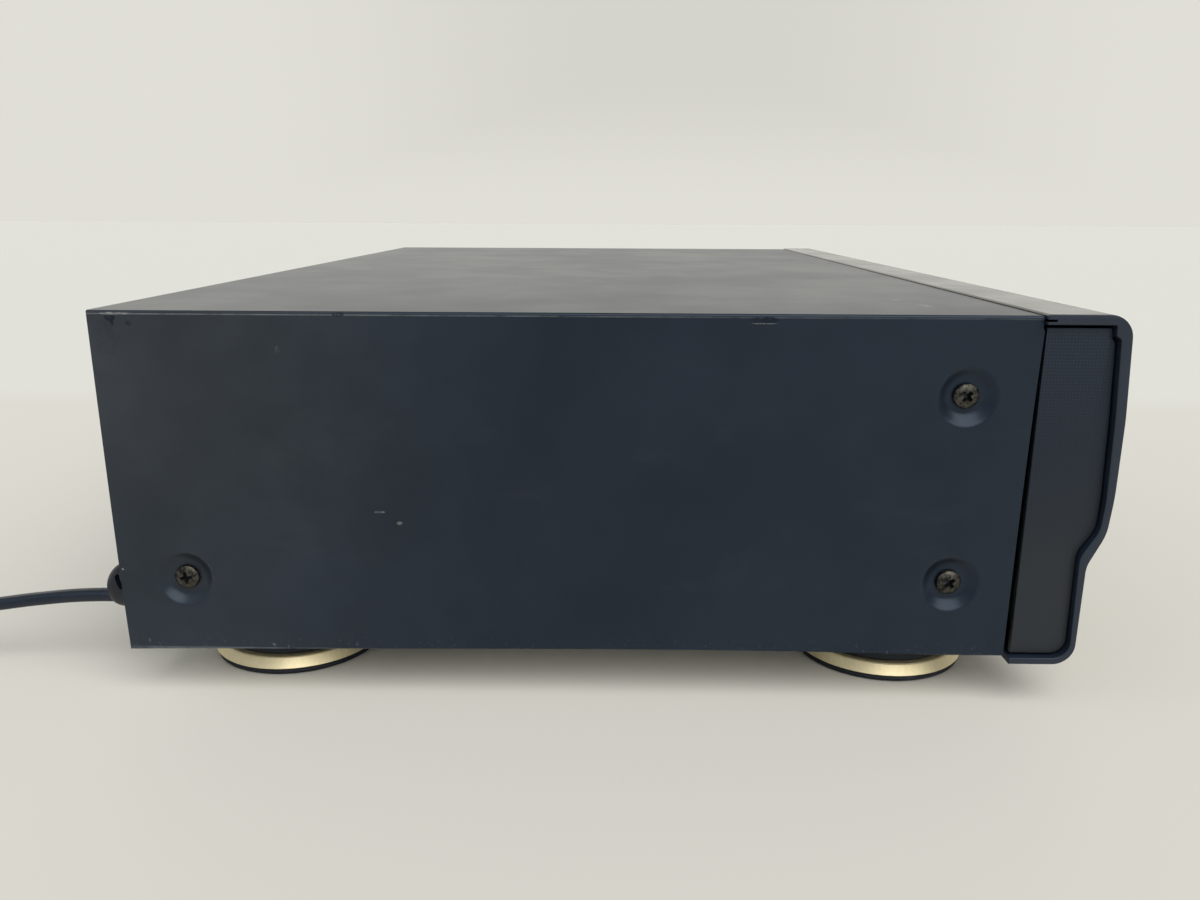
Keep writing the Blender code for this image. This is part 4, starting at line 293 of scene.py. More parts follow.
class PlayerFinish(PropertyGroup):
    """Colours of the finishes."""

    steel: tone("Case steel", (0.007, 0.0105, 0.018), "Satin coat of the cover")
    fascia: tone("Fascia", (0.076, 0.075, 0.073), "Dark brushed aluminium")
    plastic: tone("Plastic", (0.009, 0.011, 0.017), "Moulded black plastic")
    gold: tone("Foot ring", (0.90, 0.77, 0.49), "Champagne anodising")
    rubber: tone("Rubber", (0.0045, 0.0070, 0.0135), "Matt rubber of the feet")
    jacket: tone("Lead jacket", (0.0055, 0.0105, 0.0210), "Satin jacket of the mains lead")
    window: tone("Window", (0.06, 0.063, 0.07), "Smoked display window")
    screw: tone("Screw", (0.068, 0.064, 0.055), "Black and bronze zinc")


class PlayerStage(PropertyGroup):
    """Floor, background and light."""

    floor: tone("Floor", (0.74, 0.71, 0.645), "Pale floor")
    wall: tone("Wall", (0.72, 0.71, 0.66), "Pale background")
    lamp_power: FloatProperty(name="Lamp", description="Strength of the soft sky lamp", default=2.50)
    lamp_width: FloatProperty(name="Lamp width", description="Degrees of sky that the lamp fills", default=62)
    glow: FloatProperty(name="Glow", description="Brightness of the wall for lit surfaces", default=1.34)
    shade: FloatProperty(name="Shade", description="Brightness of the room behind the camera", default=0.22)


def corner_arcs(corners, radii, steps):
    """Outline whose corners give way to arcs, each of its own radius and touching both sides of its corner.

    Along an arc, a point is the arc's centre plus the turn from its first radius to its last, blended by
    sines of the part turned, worked out for all the corners at once.
    """
    here = np.array(corners, float)
    back = np.roll(here, 1, axis=0) - here
    ahead = np.roll(here, -1, axis=0) - here
    back /= np.linalg.norm(back, axis=1)[:, None]
    ahead /= np.linalg.norm(ahead, axis=1)[:, None]
    half = np.arccos(np.clip((back * ahead).sum(1), -1, 1)) / 2
    radius = np.array(radii, float)
    tangent = (radius / np.tan(half))[:, None]
    middle = back + ahead
    middle /= np.maximum(np.linalg.norm(middle, axis=1), MERGE)[:, None]
    centre = here + middle * (radius / np.sin(half))[:, None]
    first = here + back * tangent - centre
    last = here + ahead * tangent - centre
    turned = np.maximum(math.pi - 2 * half, MERGE)[:, None]
    share = np.linspace(0, 1, steps + 1)[None, :]
    one = np.sin((1 - share) * turned) / np.sin(turned)
    two = np.sin(share * turned) / np.sin(turned)
    arcs = centre[:, None] + one[..., None] * first[:, None] + two[..., None] * last[:, None]
    return arcs.reshape(-1, 2)


def rounded_rectangle(width, height, radius, steps=6):
    """Outline of a rectangle about zero, anticlockwise, with quarter-circle corners."""
    x, y = width / 2, height / 2
    return corner_arcs([(-x, -y), (x, -y), (x, y), (-x, y)], [min(radius, x, y)] * 4, steps)


def skin(sections, caps=True, closed=True):
    """Points and faces of a surface through an array of sections: row by row, point by point, in quads."""
    rows, count = sections.shape[:2]
    index = np.arange(rows * count).reshape(rows, count)
    here = index if closed else index[:, :-1]
    beside = np.roll(index, -1, axis=1) if closed else index[:, 1:]
    quads = np.stack([here[:-1], beside[:-1], beside[1:], here[1:]], axis=-1).reshape(-1, 4)
    faces = quads.tolist()
    if caps:
        faces += [index[0, ::-1].tolist(), index[-1].tolist()]
    return sections.reshape(-1, 3), faces


def swept(outline, places, axis):
    """Sections of a fixed outline of two coordinates, carried along the third axis to each of the places."""
    flat = np.array(outline, float)
    along = np.array(places, float)
    sections = np.empty((len(along), len(flat), 3))
    others = [k for k in range(3) if k != axis]
    sections[:, :, others[0]] = flat[None, :, 0]
    sections[:, :, others[1]] = flat[None, :, 1]
    sections[:, :, axis] = along[:, None]
    return sections


def stacked(outlines, places, axis):
    """Sections of a list of outlines with the same number of points, one at each place along the axis."""
    flat = np.array(outlines, float)
    sections = np.empty((len(flat), flat.shape[1], 3))
    others = [k for k in range(3) if k != axis]
    sections[:, :, others[0]] = flat[:, :, 0]
    sections[:, :, others[1]] = flat[:, :, 1]
    sections[:, :, axis] = np.array(places, float)[:, None]
    return sections


def spun(profile, centre, axis=2, sides=96):
    """Sections of a turned shape: a profile of radius and place along the axis, at each angle round it."""
    shape = np.array(profile, float)
    angle = np.linspace(0, math.tau, sides, endpoint=False)
    others = [k for k in range(3) if k != axis]
    sections = np.empty((len(shape), sides, 3))
    sections[:, :, others[0]] = shape[:, None, 0] * np.cos(angle)
    sections[:, :, others[1]] = shape[:, None, 0] * np.sin(angle)
    sections[:, :, axis] = shape[:, None, 1]
    return sections + np.array(centre, float)


def new_object(name, points, faces, material=None):
    """An object with a merged mesh whose faces all point outwards."""
    mesh = bpy.data.meshes.new(name)
    mesh.from_pydata(points, [], faces)
    body = bmesh.new()
    body.from_mesh(mesh)
    bmesh.ops.remove_doubles(body, verts=body.verts, dist=MERGE)
    bmesh.ops.dissolve_degenerate(body, dist=MERGE, edges=body.edges)
    bmesh.ops.recalc_face_normals(body, faces=body.faces)
    body.to_mesh(mesh)
    body.free()
    piece = bpy.data.objects.new(name, mesh)
    bpy.context.scene.collection.objects.link(piece)
    if material:
        mesh.materials.append(material)
    return piece


def settle(piece, sharp=SHARP_DEGREES):
    """Applies an object's modifiers to its mesh and shades it smooth between its sharp edges."""
    bpy.context.view_layer.update()
    if piece.modifiers:
        seen = piece.evaluated_get(bpy.context.evaluated_depsgraph_get())
        mesh = bpy.data.meshes.new_from_object(seen)
        piece.modifiers.clear()
        piece.data = mesh
    mesh = piece.data
    mesh.polygons.foreach_set("use_smooth", np.ones(len(mesh.polygons), dtype=bool))
    mesh.set_sharp_from_angle(angle=math.radians(sharp))
    return piece


def carve(piece, *tools, operation="DIFFERENCE"):
    """Cuts tools out of an object, or joins them to it, and removes them."""
    for tool in tools:
        cut = piece.modifiers.new(tool.name, "BOOLEAN")
        cut.operation = operation
        cut.object = tool
    settle(piece)
    for tool in tools:
        bpy.data.objects.remove(tool)
    return piece


def soften(piece, width, segments=2, degrees=40):
    """Rounds an object's sharp edges."""
    edges = piece.modifiers.new("edges", "BEVEL")
    edges.width = width
    edges.segments = segments
    edges.limit_method = "ANGLE"
    edges.angle_limit = math.radians(degrees)
    return settle(piece)


def give(piece, body, slot, *nodes):
    """Hangs a finished piece on the empty of the body it rides on and hides the solids it stands for. The
    slot is not used.
    """
    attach(piece, body)
    if nodes:
        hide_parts(*nodes)
    return piece


def box_of(node):
    """Lowest corner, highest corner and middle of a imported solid, as arrays."""
    low, high = (np.array(corner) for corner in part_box(node))
    return low, high, (low + high) / 2


def prism(name, outline, axis, start, stop, material=None):
    """A piece of one fixed outline from start to stop along an axis."""
    return new_object(name, *skin(swept(outline, (start, stop), axis)), material)


def turned(name, profile, centre, axis=2, sides=96, material=None, closed=False):
    """A turned piece. A closed profile makes a ring, an open one ends on its axis at both ends."""
    shape = [*profile, profile[0]] if closed else profile
    return new_object(name, *skin(spun(shape, centre, axis, sides), caps=False), material)


def fronted(name, node, rows, corner, material):
    """A block from the front of a solid's box: rows of how far its outline is drawn in, and a depth."""
    low, high, middle = box_of(node)
    wide, _, tall = high - low
    outlines = [rounded_rectangle(wide - 2 * inset, tall - 2 * inset, corner) for inset, _ in rows]
    centred = [outline + middle[[0, 2]] for outline in outlines]
    places = [low[1] + depth for _, depth in rows]
    return settle(new_object(name, *skin(stacked(centred, places, 1)), finish(material)))


class Pattern:
    """Node tree with patterns measured in metres on one set of coordinates."""

    def __init__(self, tree, place):
        self.nodes = tree.nodes
        self.links = tree.links
        self.place = self.nodes.new("ShaderNodeTexCoord").outputs[place]

    def node(self, kind, inputs, **settings):
        """A node whose inputs are sockets to link from, or plain values."""
        node = self.nodes.new(kind)
        for key, value in settings.items():
            setattr(node, key, value)
        for key, value in inputs.items():
            if isinstance(value, bpy.types.NodeSocket):
                self.links.new(value, node.inputs[key])
            else:
                node.inputs[key].default_value = value
        return node

    def scaled(self, size):
        """Coordinates in which a length of size metres, or of one size an axis, is one unit."""
        sizes = size if isinstance(size, tuple) else (size, size, size)
        scale = tuple(1 / s for s in sizes)
        return self.node("ShaderNodeMapping", {"Vector": self.place, "Scale": scale}).outputs[0]

    def noise(self, size, detail=3.0, rough=0.5, warp=0.0):
        """Cloudy noise whose lumps are about the given size."""
        inputs = {"Vector": self.scaled(size), "Scale": 1.0, "Detail": detail}
        inputs |= {"Roughness": rough, "Distortion": warp}
        return self.node("ShaderNodeTexNoise", inputs).outputs[0]

    def cells(self, size):
        """Distance to the nearest scattered point, in units of size, and a level of that point's own."""
        found = self.node("ShaderNodeTexVoronoi", {"Vector": self.scaled(size), "Scale": 1.0}).outputs
        return found["Distance"], self.node("ShaderNodeSeparateColor", {0: found["Color"]}).outputs[0]

    def maths(self, operation, first, second=0.0, third=0.0):
        """One step of arithmetic on values or sockets."""
        return self.node("ShaderNodeMath", {0: first, 1: second, 2: third}, operation=operation).outputs[0]

    def times(self, *values):
        """Product of all the values."""
        result = values[0]
        for value in values[1:]:
            result = self.maths("MULTIPLY", result, value)
        return result

    def most(self, *values):
        """Largest of the values."""
        result = values[0]
        for value in values[1:]:
            result = self.maths("MAXIMUM", result, value)
        return result

    def ramp(self, value, low, high, to_low=0.0, to_high=1.0):
        """Follows a value smoothly from one level to another."""
        inputs = {"Value": value, "From Min": low, "From Max": high, "To Min": to_low, "To Max": to_high}
        return self.node("ShaderNodeMapRange", inputs, interpolation_type="SMOOTHSTEP").outputs[0]

    def between(self, value, low, high, edge):
        """One from low to high, with a soft edge inside each end."""
        return self.times(self.ramp(value, low, low + edge), self.ramp(value, high, high - edge))

    def axes(self):
        """The coordinates' x, y and z."""
        return self.node("ShaderNodeSeparateXYZ", {0: self.place}).outputs

    def away(self, spot, stretch=(1, 1, 1)):
        """Distance from a spot, in metres, with each axis stretched."""
        moved = self.node("ShaderNodeVectorMath", {0: self.place, 1: spot}, operation="SUBTRACT").outputs[0]
        shaped = self.node("ShaderNodeVectorMath", {0: moved, 1: stretch}, operation="MULTIPLY").outputs[0]
        return self.node("ShaderNodeVectorMath", {0: shaped}, operation="LENGTH").outputs["Value"]

    def patch(self, spot, radius, stretch=(1, 1, 1), ragged=0.4):
        """A ragged patch round a spot: its edge wanders by a share of its radius."""
        cloud = self.noise(radius * 0.7, detail=4, rough=0.7)
        wander = self.times(self.maths("SUBTRACT", cloud, 0.5), radius)
        edge = self.maths("MULTIPLY_ADD", wander, ragged * 2, self.away(spot, stretch))
        return self.ramp(edge, radius, radius * 0.75)

    def blend(self, factor, first, second):
        """A colour between two, by a factor from 0 to 1."""
        colours = [(*c, 1.0) if not isinstance(c, bpy.types.NodeSocket) else c for c in (first, second)]
        inputs = {0: factor, 6: colours[0], 7: colours[1]}
        return self.node("ShaderNodeMix", inputs, data_type="RGBA").outputs[2]


class Finish(Pattern):
    """A Principled material whose patterns are on Object coordinates."""

    def __init__(self, name, colour, roughness, metallic=0.0, **sockets):
        self.material = bpy.data.materials.new(FINISH_PREFIX + name)
        self.material.use_nodes = True
        super().__init__(self.material.node_tree, "Object")
        self.shader = self.nodes["Principled BSDF"]
        self.set("Base Color", (*colour, 1.0))
        self.set("Roughness", roughness)
        self.set("Metallic", metallic)
        for socket, value in sockets.items():
            self.set(socket.replace("_", " "), value)

    def set(self, socket, value):
        """Gives the shader's socket a plain value, or links a pattern to it."""
        if isinstance(value, bpy.types.NodeSocket):
            self.links.new(value, self.shader.inputs[socket])
        else:
            self.shader.inputs[socket].default_value = value

    def shades(self, level, colour, low, high):
        """Sets a base colour that goes from low to high times one colour, and gives that colour back."""
        tint = self.blend(level, shade_of(colour, low), shade_of(colour, high))
        self.set("Base Color", tint)
        return tint

    def bump(self, height, depth):
        """Adds a relief of that depth, in metres, over any before it."""
        before = self.shader.inputs["Normal"].links
        inputs = {"Height": height, "Distance": depth, "Strength": 1.0}
        if before:
            inputs["Normal"] = before[0].from_socket
        self.set("Normal", self.node("ShaderNodeBump", inputs).outputs[0])


def shade_of(colour, factor):
    """A colour times a factor, held at full brightness."""
    return tuple(min(c * factor, 1.0) for c in colour)


def satin_steel(look):
    """Powder coat: faint mottle and smears, a few specks, a pale film of dust and painted sheen towards the
    rear and top, bare steel with a painted highlight along the folds, and small chips.
    """
    f = Finish("satin_steel", look.steel, 0.32, Specular_Tint=STEEL_SHEEN, Specular_IOR_Level=SOFT_GLOSS)
    x, y, z = f.axes()
    mottle = f.noise(0.05, detail=4, rough=0.6)
    base = f.blend(f.ramp(mottle, 0.3, 0.7), shade_of(look.steel, 0.8), shade_of(look.steel, 1.25))
    smear = f.ramp(f.noise((0.09, 0.05, 0.016), detail=5, rough=0.62, warp=0.8), 0.56, 0.80)
    base = f.blend(f.times(smear, 0.035), base, DUST)
    # Pale film that grows towards the rear and the top: dust, and a painted sheen
    rear = f.ramp(y, 0.00, 0.15)
    high = f.ramp(z, 0.02, 0.11, 0.45, 1.0)
    base = f.blend(f.times(rear, high, f.ramp(mottle, 0.3, 0.7, 0.6, 1.0), 0.17), base, DUST)
    near, level = f.cells(0.013)
    specks = f.times(f.ramp(near, 0.022, 0.012), f.ramp(level, 0.80, 0.82), 0.5)
    low = f.ramp(z, CASE_FOOT + 0.007, CASE_FOOT)
    low_dust = f.times(low, f.ramp(f.noise(0.0012, detail=4), 0.60, 0.72), 0.3)
    base = f.blend(f.most(specks, low_dust), base, DUST)
    # Light lines along the top fold and the foot: bare steel, and a painted highlight that grows towards the
    # rear along the fold
    side = f.ramp(f.maths("ABSOLUTE", x), COVER_HALF - 0.0007, COVER_HALF - 0.0002)
    broken = f.ramp(f.noise((0.03, 0.011, 0.03), detail=6, rough=0.7), 0.30, 0.62, 0.15, 1.0)
    line = f.between(z, COVER_TOP - 0.0013, COVER_TOP - 0.0007, 0.0002)
    fold_wear_and_highlight = f.times(side, line, broken, f.ramp(y, -0.13, 0.13, 0.22, 0.6))
    foot = f.times(side, f.ramp(z, CASE_FOOT + 0.0012, CASE_FOOT + 0.0008), broken, 0.45)
    base = f.blend(f.most(fold_wear_and_highlight, foot), base, BARE_STEEL_AND_HIGHLIGHT)
    ragged = f.ramp(f.noise(0.0014, detail=5, rough=0.75), 0.40, 0.56, 0.2, 1.0)
    for spot, radius, stretch, strength in COVER_DENTS:
        base = f.blend(f.times(f.patch(spot, radius, stretch), ragged, strength), base, DARK_CHIP)
    for spot, radius, stretch, strength in COVER_MARKS:
        base = f.blend(f.times(f.patch(spot, radius, stretch, 0.7), ragged, strength), base, LIGHT_CHIP)
    f.set("Base Color", base)
    f.set("Roughness", f.ramp(mottle, 0.25, 0.75, 0.30, 0.35))
    f.bump(f.noise(0.0008, detail=2, rough=0.6), 0.000020)
    return f.material


def dark_aluminium(look):
    """Dark anodised aluminium, brushed from side to side."""
    f = Finish("dark_aluminium", look.fascia, 0.14, 1.0)
    brush = f.noise((0.05, 0.00016, 0.00016), detail=4, rough=0.65)
    f.shades(brush, look.fascia, 0.85, 1.15)
    f.set("Roughness", f.ramp(f.noise(0.03), 0.3, 0.7, 0.21, 0.26))
    f.bump(brush, 0.000004)
    return f.material


def grained_plastic(name, colour, grain=0.0005, depth=0.000014, gloss=0.46):
    """Moulded plastic with a fine spark-eroded grain."""
    f = Finish(name, colour, gloss, Specular_IOR_Level=SOFT_GLOSS)
    cloud = f.noise(0.02)
    f.shades(cloud, colour, 0.85, 1.2)
    f.set("Roughness", f.ramp(cloud, 0.3, 0.7, gloss - 0.05, gloss + 0.05))
    f.bump(f.noise(grain, rough=0.6), depth)
    return f.material


def dotted_plastic(look):
    """End plate of the fascia: a square grid of tiny pips on matt plastic, fading out towards the foot. The
    pips are painted lighter as painted highlights, and the plate between them is painted lighter towards the
    foot as painted light.
    """
    f = Finish("dotted_plastic", look.plastic, 0.44, Specular_Tint=STEEL_SHEEN, Specular_IOR_Level=0.40)
    _, y, z = f.axes()
    across = f.ramp(f.maths("SINE", f.times(y, math.tau / PIP_PITCH)), 0.0, 0.8)
    upwards = f.ramp(f.maths("SINE", f.times(z, math.tau / PIP_PITCH)), 0.0, 0.8)
    # How strongly the pips show, in relief and as painted highlights, fading towards the foot
    seen = f.times(across, upwards, f.ramp(z, 0.050, 0.110, 0.15, 1.0))
    # Plate tone painted lighter towards the foot: painted light
    plain = f.blend(f.ramp(z, 0.085, 0.030), look.plastic[:], (0.019, 0.020, 0.021))
    f.set("Base Color", f.blend(f.times(seen, 0.6), plain, shade_of(look.plastic, 2.2)))
    f.bump(f.noise(0.0004), 0.000010)
    f.bump(seen, 0.00003)
    return f.material


def champagne_gold(look):
    """Anodised ring: face brushed up and down, with soft streaks round it."""
    f = Finish("champagne_gold", look.gold, 0.48, 0.70)
    streaks = f.noise((0.0011, 0.0011, 0.05), detail=4, rough=0.7)
    cloud = f.noise((0.012, 0.012, 0.05), detail=2)
    f.shades(streaks, look.gold, 0.84, 1.14)
    f.set("Roughness", f.ramp(cloud, 0.3, 0.7, 0.44, 0.52))
    f.bump(streaks, 0.000005)
    return f.material


def matt_rubber(look):
    """Matt rubber with a fine grain and a little grey dust."""
    f = Finish("matt_rubber", look.rubber, 0.60, Specular_IOR_Level=SOFT_GLOSS)
    dust = f.ramp(f.noise(0.004, detail=5, rough=0.7), 0.5, 0.8)
    f.set("Base Color", f.blend(f.times(dust, 0.15), look.rubber[:], DUST))
    f.bump(f.noise(0.0004), 0.00002)
    return f.material


def lead_jacket(look):
    """Satin jacket of the mains lead, with faint unevenness and handling dust."""
    f = Finish("lead_jacket", look.jacket, 0.40, Specular_IOR_Level=SOFT_GLOSS)
    cloud = f.noise(0.02, detail=4)
    f.shades(f.ramp(cloud, 0.45, 0.8), look.jacket, 1.0, 2.0)
    f.set("Roughness", f.ramp(cloud, 0.3, 0.7, 0.35, 0.47))
    f.bump(f.noise(0.0012, detail=2), 0.00002)
    return f.material


def bronze_zinc(look):
    """Black zinc, worn to bronze in small blotches."""
    f = Finish("bronze_zinc", look.screw, 0.36, 1.0)
    blotch = f.noise(0.0013, detail=5, rough=0.72, warp=0.4)
    f.shades(f.ramp(blotch, 0.36, 0.66), look.screw, 0.30, 1.5)
    f.set("Roughness", f.ramp(blotch, 0.35, 0.65, 0.27, 0.50))
    f.bump(blotch, 0.00004)
    return f.material


def plated_steel(name, colour, roughness=0.34, spangle=0.006):
    """Bright zinc or nickel: soft spangle in cells and fine scratches."""
    f = Finish(name, colour, roughness, 1.0)
    _, level = f.cells(spangle)
    f.shades(f.ramp(level, 0, 1), colour, 0.86, 1.12)
    f.set("Roughness", f.ramp(level, 0, 1, roughness - 0.05, roughness + 0.07))
    f.bump(f.noise((0.0002, 0.01, 0.0002), detail=3), 0.000006)
    return f.material


def laminated_core():
    """Varnished core: thin plates stacked from front to back, and taped windings between its limbs."""
    f = Finish("laminated_core", (0.06, 0.055, 0.05), 0.42)
    _, y, z = f.axes()
    low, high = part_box("power_transformer")
    plates = f.ramp(f.maths("SINE", f.times(y, math.tau / PLATE_PITCH)), -0.5, 0.5)
    half_depth = (high[1] - low[1]) / 2 - WINDING_REACH
    outside = f.maths("ABSOLUTE", f.maths("SUBTRACT", y, (low[1] + high[1]) / 2))
    winding = f.ramp(outside, half_depth - 0.0003, half_depth + 0.0001)
    wraps = f.ramp(f.maths("SINE", f.times(z, math.tau / WRAP_PITCH)), -0.9, -0.6)
    core = f.blend(plates, (0.035, 0.033, 0.031), (0.10, 0.095, 0.088))
    tape = f.blend(wraps, (0.30, 0.22, 0.05), (0.62, 0.50, 0.14))
    f.set("Base Color", f.blend(winding, core, tape))
    f.bump(plates, 0.00005)
    return f.material


def populated_board(name, level, axis, reach):
    """Solder mask with traces and pads on the board itself, black and grey parts beyond its two faces."""
    f = Finish(name, (0.02, 0.12, 0.05), 0.34)
    height = f.axes()[axis]
    run = (0.012, 0.0016, 0.0016) if axis == 1 else (0.0016, 0.012, 0.0016)
    traces = f.ramp(f.noise(run, detail=1), 0.50, 0.53)
    near, chosen = f.cells(0.0038)
    pads = f.times(f.ramp(near, 0.19, 0.16), f.ramp(chosen, 0.45, 0.46))
    mask = f.blend(traces, (0.012, 0.085, 0.035), (0.022, 0.15, 0.06))
    mask = f.blend(pads, mask, (0.55, 0.54, 0.50))
    parts = f.blend(f.ramp(f.noise(0.02, detail=1), 0.45, 0.55), (0.012, 0.012, 0.014), (0.03, 0.04, 0.07))
    away = f.maths("ABSOLUTE", f.maths("SUBTRACT", height, level))
    f.set("Base Color", f.blend(f.ramp(away, reach, reach + 0.0001), mask, parts))
    f.set("Metallic", f.times(pads, f.ramp(away, reach + 0.0001, reach)))
    f.bump(traces, 0.00003)
    return f.material


def smoked_acrylic(look):
    """Smoked window: clear, dark and smooth, with a faint unevenness in tone and gloss."""
    f = Finish("smoked_acrylic", look.window, 0.04, Transmission_Weight=0.85, IOR=1.49)
    f.shades(f.noise(0.08), look.window, 0.9, 1.1)
    f.set("Roughness", f.ramp(f.noise(0.004), 0.4, 0.8, 0.03, 0.06))
    return f.material


def coated_glass(name, colour, tint, transmission):
    """Glass whose coloured coat is painted as a tint that grows where its surface turns from the view: a
    painted sheen, stronger towards its rim.
    """
    f = Finish(name, colour, 0.05, Transmission_Weight=transmission, IOR=1.5)
    # Painted sheen: the colour turns to the tint as the surface faces away from the view
    rim = f.node("ShaderNodeLayerWeight", {"Blend": 0.35}).outputs["Facing"]
    f.set("Base Color", f.blend(rim, colour, tint))
    f.set("Roughness", f.ramp(f.noise(0.003), 0.4, 0.8, 0.04, 0.08))
    return f.material


def finish(name):
    """One of the finishes made here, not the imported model's material of that name."""
    return bpy.data.materials[FINISH_PREFIX + name]


def mix_finishes(look):
    """Makes every finish once."""
    for mix in (
        satin_steel, dark_aluminium, dotted_plastic, champagne_gold, matt_rubber, lead_jacket, bronze_zinc,
        smoked_acrylic,
    ):
        mix(look)
    laminated_core()
    grained_plastic("black_plastic", look.plastic)
    # Near-black finish for the screws' cross recesses: painted shade
    grained_plastic("painted_recess_shade", (0.004, 0.004, 0.005), gloss=0.70)
    grained_plastic("coated_edge", (0.013, 0.020, 0.034), gloss=0.42)
    grained_plastic("grey_plastic", (0.10, 0.105, 0.11), gloss=0.50)
    grained_plastic("acetal", (0.74, 0.72, 0.66), grain=0.002, depth=0.000008, gloss=0.38)
    grained_plastic("print_white", (0.62, 0.63, 0.62), gloss=0.5)
    grained_plastic("insulator_white", (0.70, 0.69, 0.66), gloss=0.35)
    grained_plastic("insulator_red", (0.42, 0.022, 0.020), gloss=0.35)
    grained_plastic("segment", (0.26, 0.30, 0.26), gloss=0.55)
    plated_steel("zinc_steel", (0.56, 0.57, 0.56))
    plated_steel("nickel", (0.62, 0.60, 0.56), roughness=0.20, spangle=0.002)
    coated_glass("tube_glass", (0.010, 0.012, 0.013), (0.05, 0.06, 0.06), 0.0)
    coated_glass("lens_glass", (0.55, 0.60, 0.85), (0.20, 0.15, 0.55), 0.6)
    half = BOARD_THICKNESS / 2
    populated_board("main_board_parts", CASE_FOOT + MAIN_BOARD_HEIGHT + half, 2, half)
    populated_board("front_board_parts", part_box("front_board")[1][1] - half, 1, half)


def dress_nodes():
    """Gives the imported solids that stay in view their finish."""
    stays = {
        "zinc_steel": ("bottom_chassis", "clamp_bridge", "loading_motor", "sled_motor", "spindle_motor"),
        "nickel": ("guide_rod_left", "guide_rod_right"),
        "satin_steel": ("rear_panel",),
        "grey_plastic": ("mechanism_frame", "lens_sled", "optical_base"),
        "acetal": ("clamp_puck", "drive_gear", "loading_pulley", "motor_pulley", "sled_gear", "sled_pinion"),
        "matt_rubber": ("loading_belt",),
        "black_plastic": ("tray", "turntable", "headphone_socket"),
        "lens_glass": ("objective_lens",),
        "laminated_core": ("power_transformer",),
        "main_board_parts": ("main_board",),
        "front_board_parts": ("front_board",),
    }
    for name, nodes in stays.items():
        for node in nodes:
            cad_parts[node].material_slots[0].material = finish(name)


def place_camera():
    """The photograph's camera: it looks along +X, turned by yaw and pitch, then rolled about its own line."""
    pitch, yaw, roll = (math.radians(a) for a in (CAMERA_PITCH, CAMERA_YAW, CAMERA_ROLL))
    ahead = Vector((math.cos(pitch) * math.cos(yaw), math.cos(pitch) * math.sin(yaw), -math.sin(pitch)))
    level = Vector((math.sin(yaw), -math.cos(yaw), 0))
    upright = level.cross(ahead)
    right = level * math.cos(roll) + upright * math.sin(roll)
    above = upright * math.cos(roll) - level * math.sin(roll)
    data = bpy.data.cameras.new("camera")
    data.lens = CAMERA_LENS
    data.sensor_width = CAMERA_SENSOR
    data.clip_start = 0.01
    camera = bpy.data.objects.new("camera", data)
    turn = Matrix((right, above, -ahead)).transposed().to_4x4()
    camera.matrix_world = Matrix.Translation(CAMERA_SPOT) @ turn
    bpy.context.scene.collection.objects.link(camera)
    bpy.context.scene.camera = camera


def lay_floor(stage):
    """Wide pale floor whose tone turns softly into the background's behind the object."""
    reach = 8.0
    corners = [(-reach, -reach), (reach, -reach), (reach, reach), (-reach, reach)]
    floor = prism("floor", corners, 2, -0.02, 0.0)
    f = Finish("floor", stage.floor, 0.55)
    far = f.ramp(f.axes()[0], 0.22, 0.30)
    shaded = f.blend(f.noise(0.6), shade_of(stage.floor, 0.985), shade_of(stage.floor, 1.015))
    f.set("Base Color", f.blend(far, shaded, shade_of(stage.wall, 1.06)))
    f.bump(f.noise(0.002), 0.00001)
    floor.data.materials.append(f.material)
    floor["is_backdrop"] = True


def set_world(stage):
    """Pale surroundings: for the camera to see, a wall tone with painted shade, darker straight ahead and
    higher up and lighter to the sides and near the horizon; and for light, bright ahead of it and dim behind.
    """
    world = bpy.data.worlds.new("studio")
    bpy.context.scene.world = world
    world.use_nodes = True
    w = Pattern(world.node_tree, "Generated")
    x, y, z = w.axes()
    ahead = w.ramp(x, -0.25, 0.55)
    bright = w.ramp(z, 0.15, 0.75, stage.glow, stage.glow * 0.2)
    dim = w.times(w.ramp(y, -0.35, 0.75, stage.shade, stage.shade * 1.8), w.ramp(z, 0.05, 0.75, 1.0, 2.0))
    lit = w.blend(
        ahead,
        w.node("ShaderNodeVectorMath", {0: (0.86, 0.94, 1.0), "Scale": dim}, operation="SCALE").outputs[0],
        w.node("ShaderNodeVectorMath", {0: stage.wall[:], "Scale": bright}, operation="SCALE").outputs[0],
    )
    # Painted shade on the background the camera sees: darker straight ahead and higher up, lighter to the
    # sides and near the horizon
    edge = w.most(w.ramp(w.maths("ABSOLUTE", w.maths("ADD", y, 0.06)), 0.08, 0.42), w.ramp(z, 0.12, 0.0))
    seen = w.blend(edge, shade_of(stage.wall, 0.92), shade_of(stage.wall, 1.03))
    ray = w.nodes.new("ShaderNodeLightPath").outputs["Is Camera Ray"]
    w.links.new(w.blend(ray, lit, seen), w.nodes["Background"].inputs["Color"])


def hang_lamp(stage):
    """One very soft lamp, high on the camera's side: a sun as wide as a sky light."""
    data = bpy.data.lights.new("soft_sky", "SUN")
    data.angle = math.radians(stage.lamp_width)
    data.energy = stage.lamp_power
    data.color = LAMP_TONE
    lamp = bpy.data.objects.new("soft_sky", data)
    lamp.rotation_euler = Vector(LAMP_FROM).to_track_quat("Z", "Y").to_euler()
    bpy.context.scene.collection.objects.link(lamp)


def build_stage(stage):
    """Camera, floor, surroundings, lamp and the plain view transform."""
    place_camera()
    lay_floor(stage)
    set_world(stage)
    hang_lamp(stage)
    bpy.context.scene.view_settings.view_transform = "Standard"


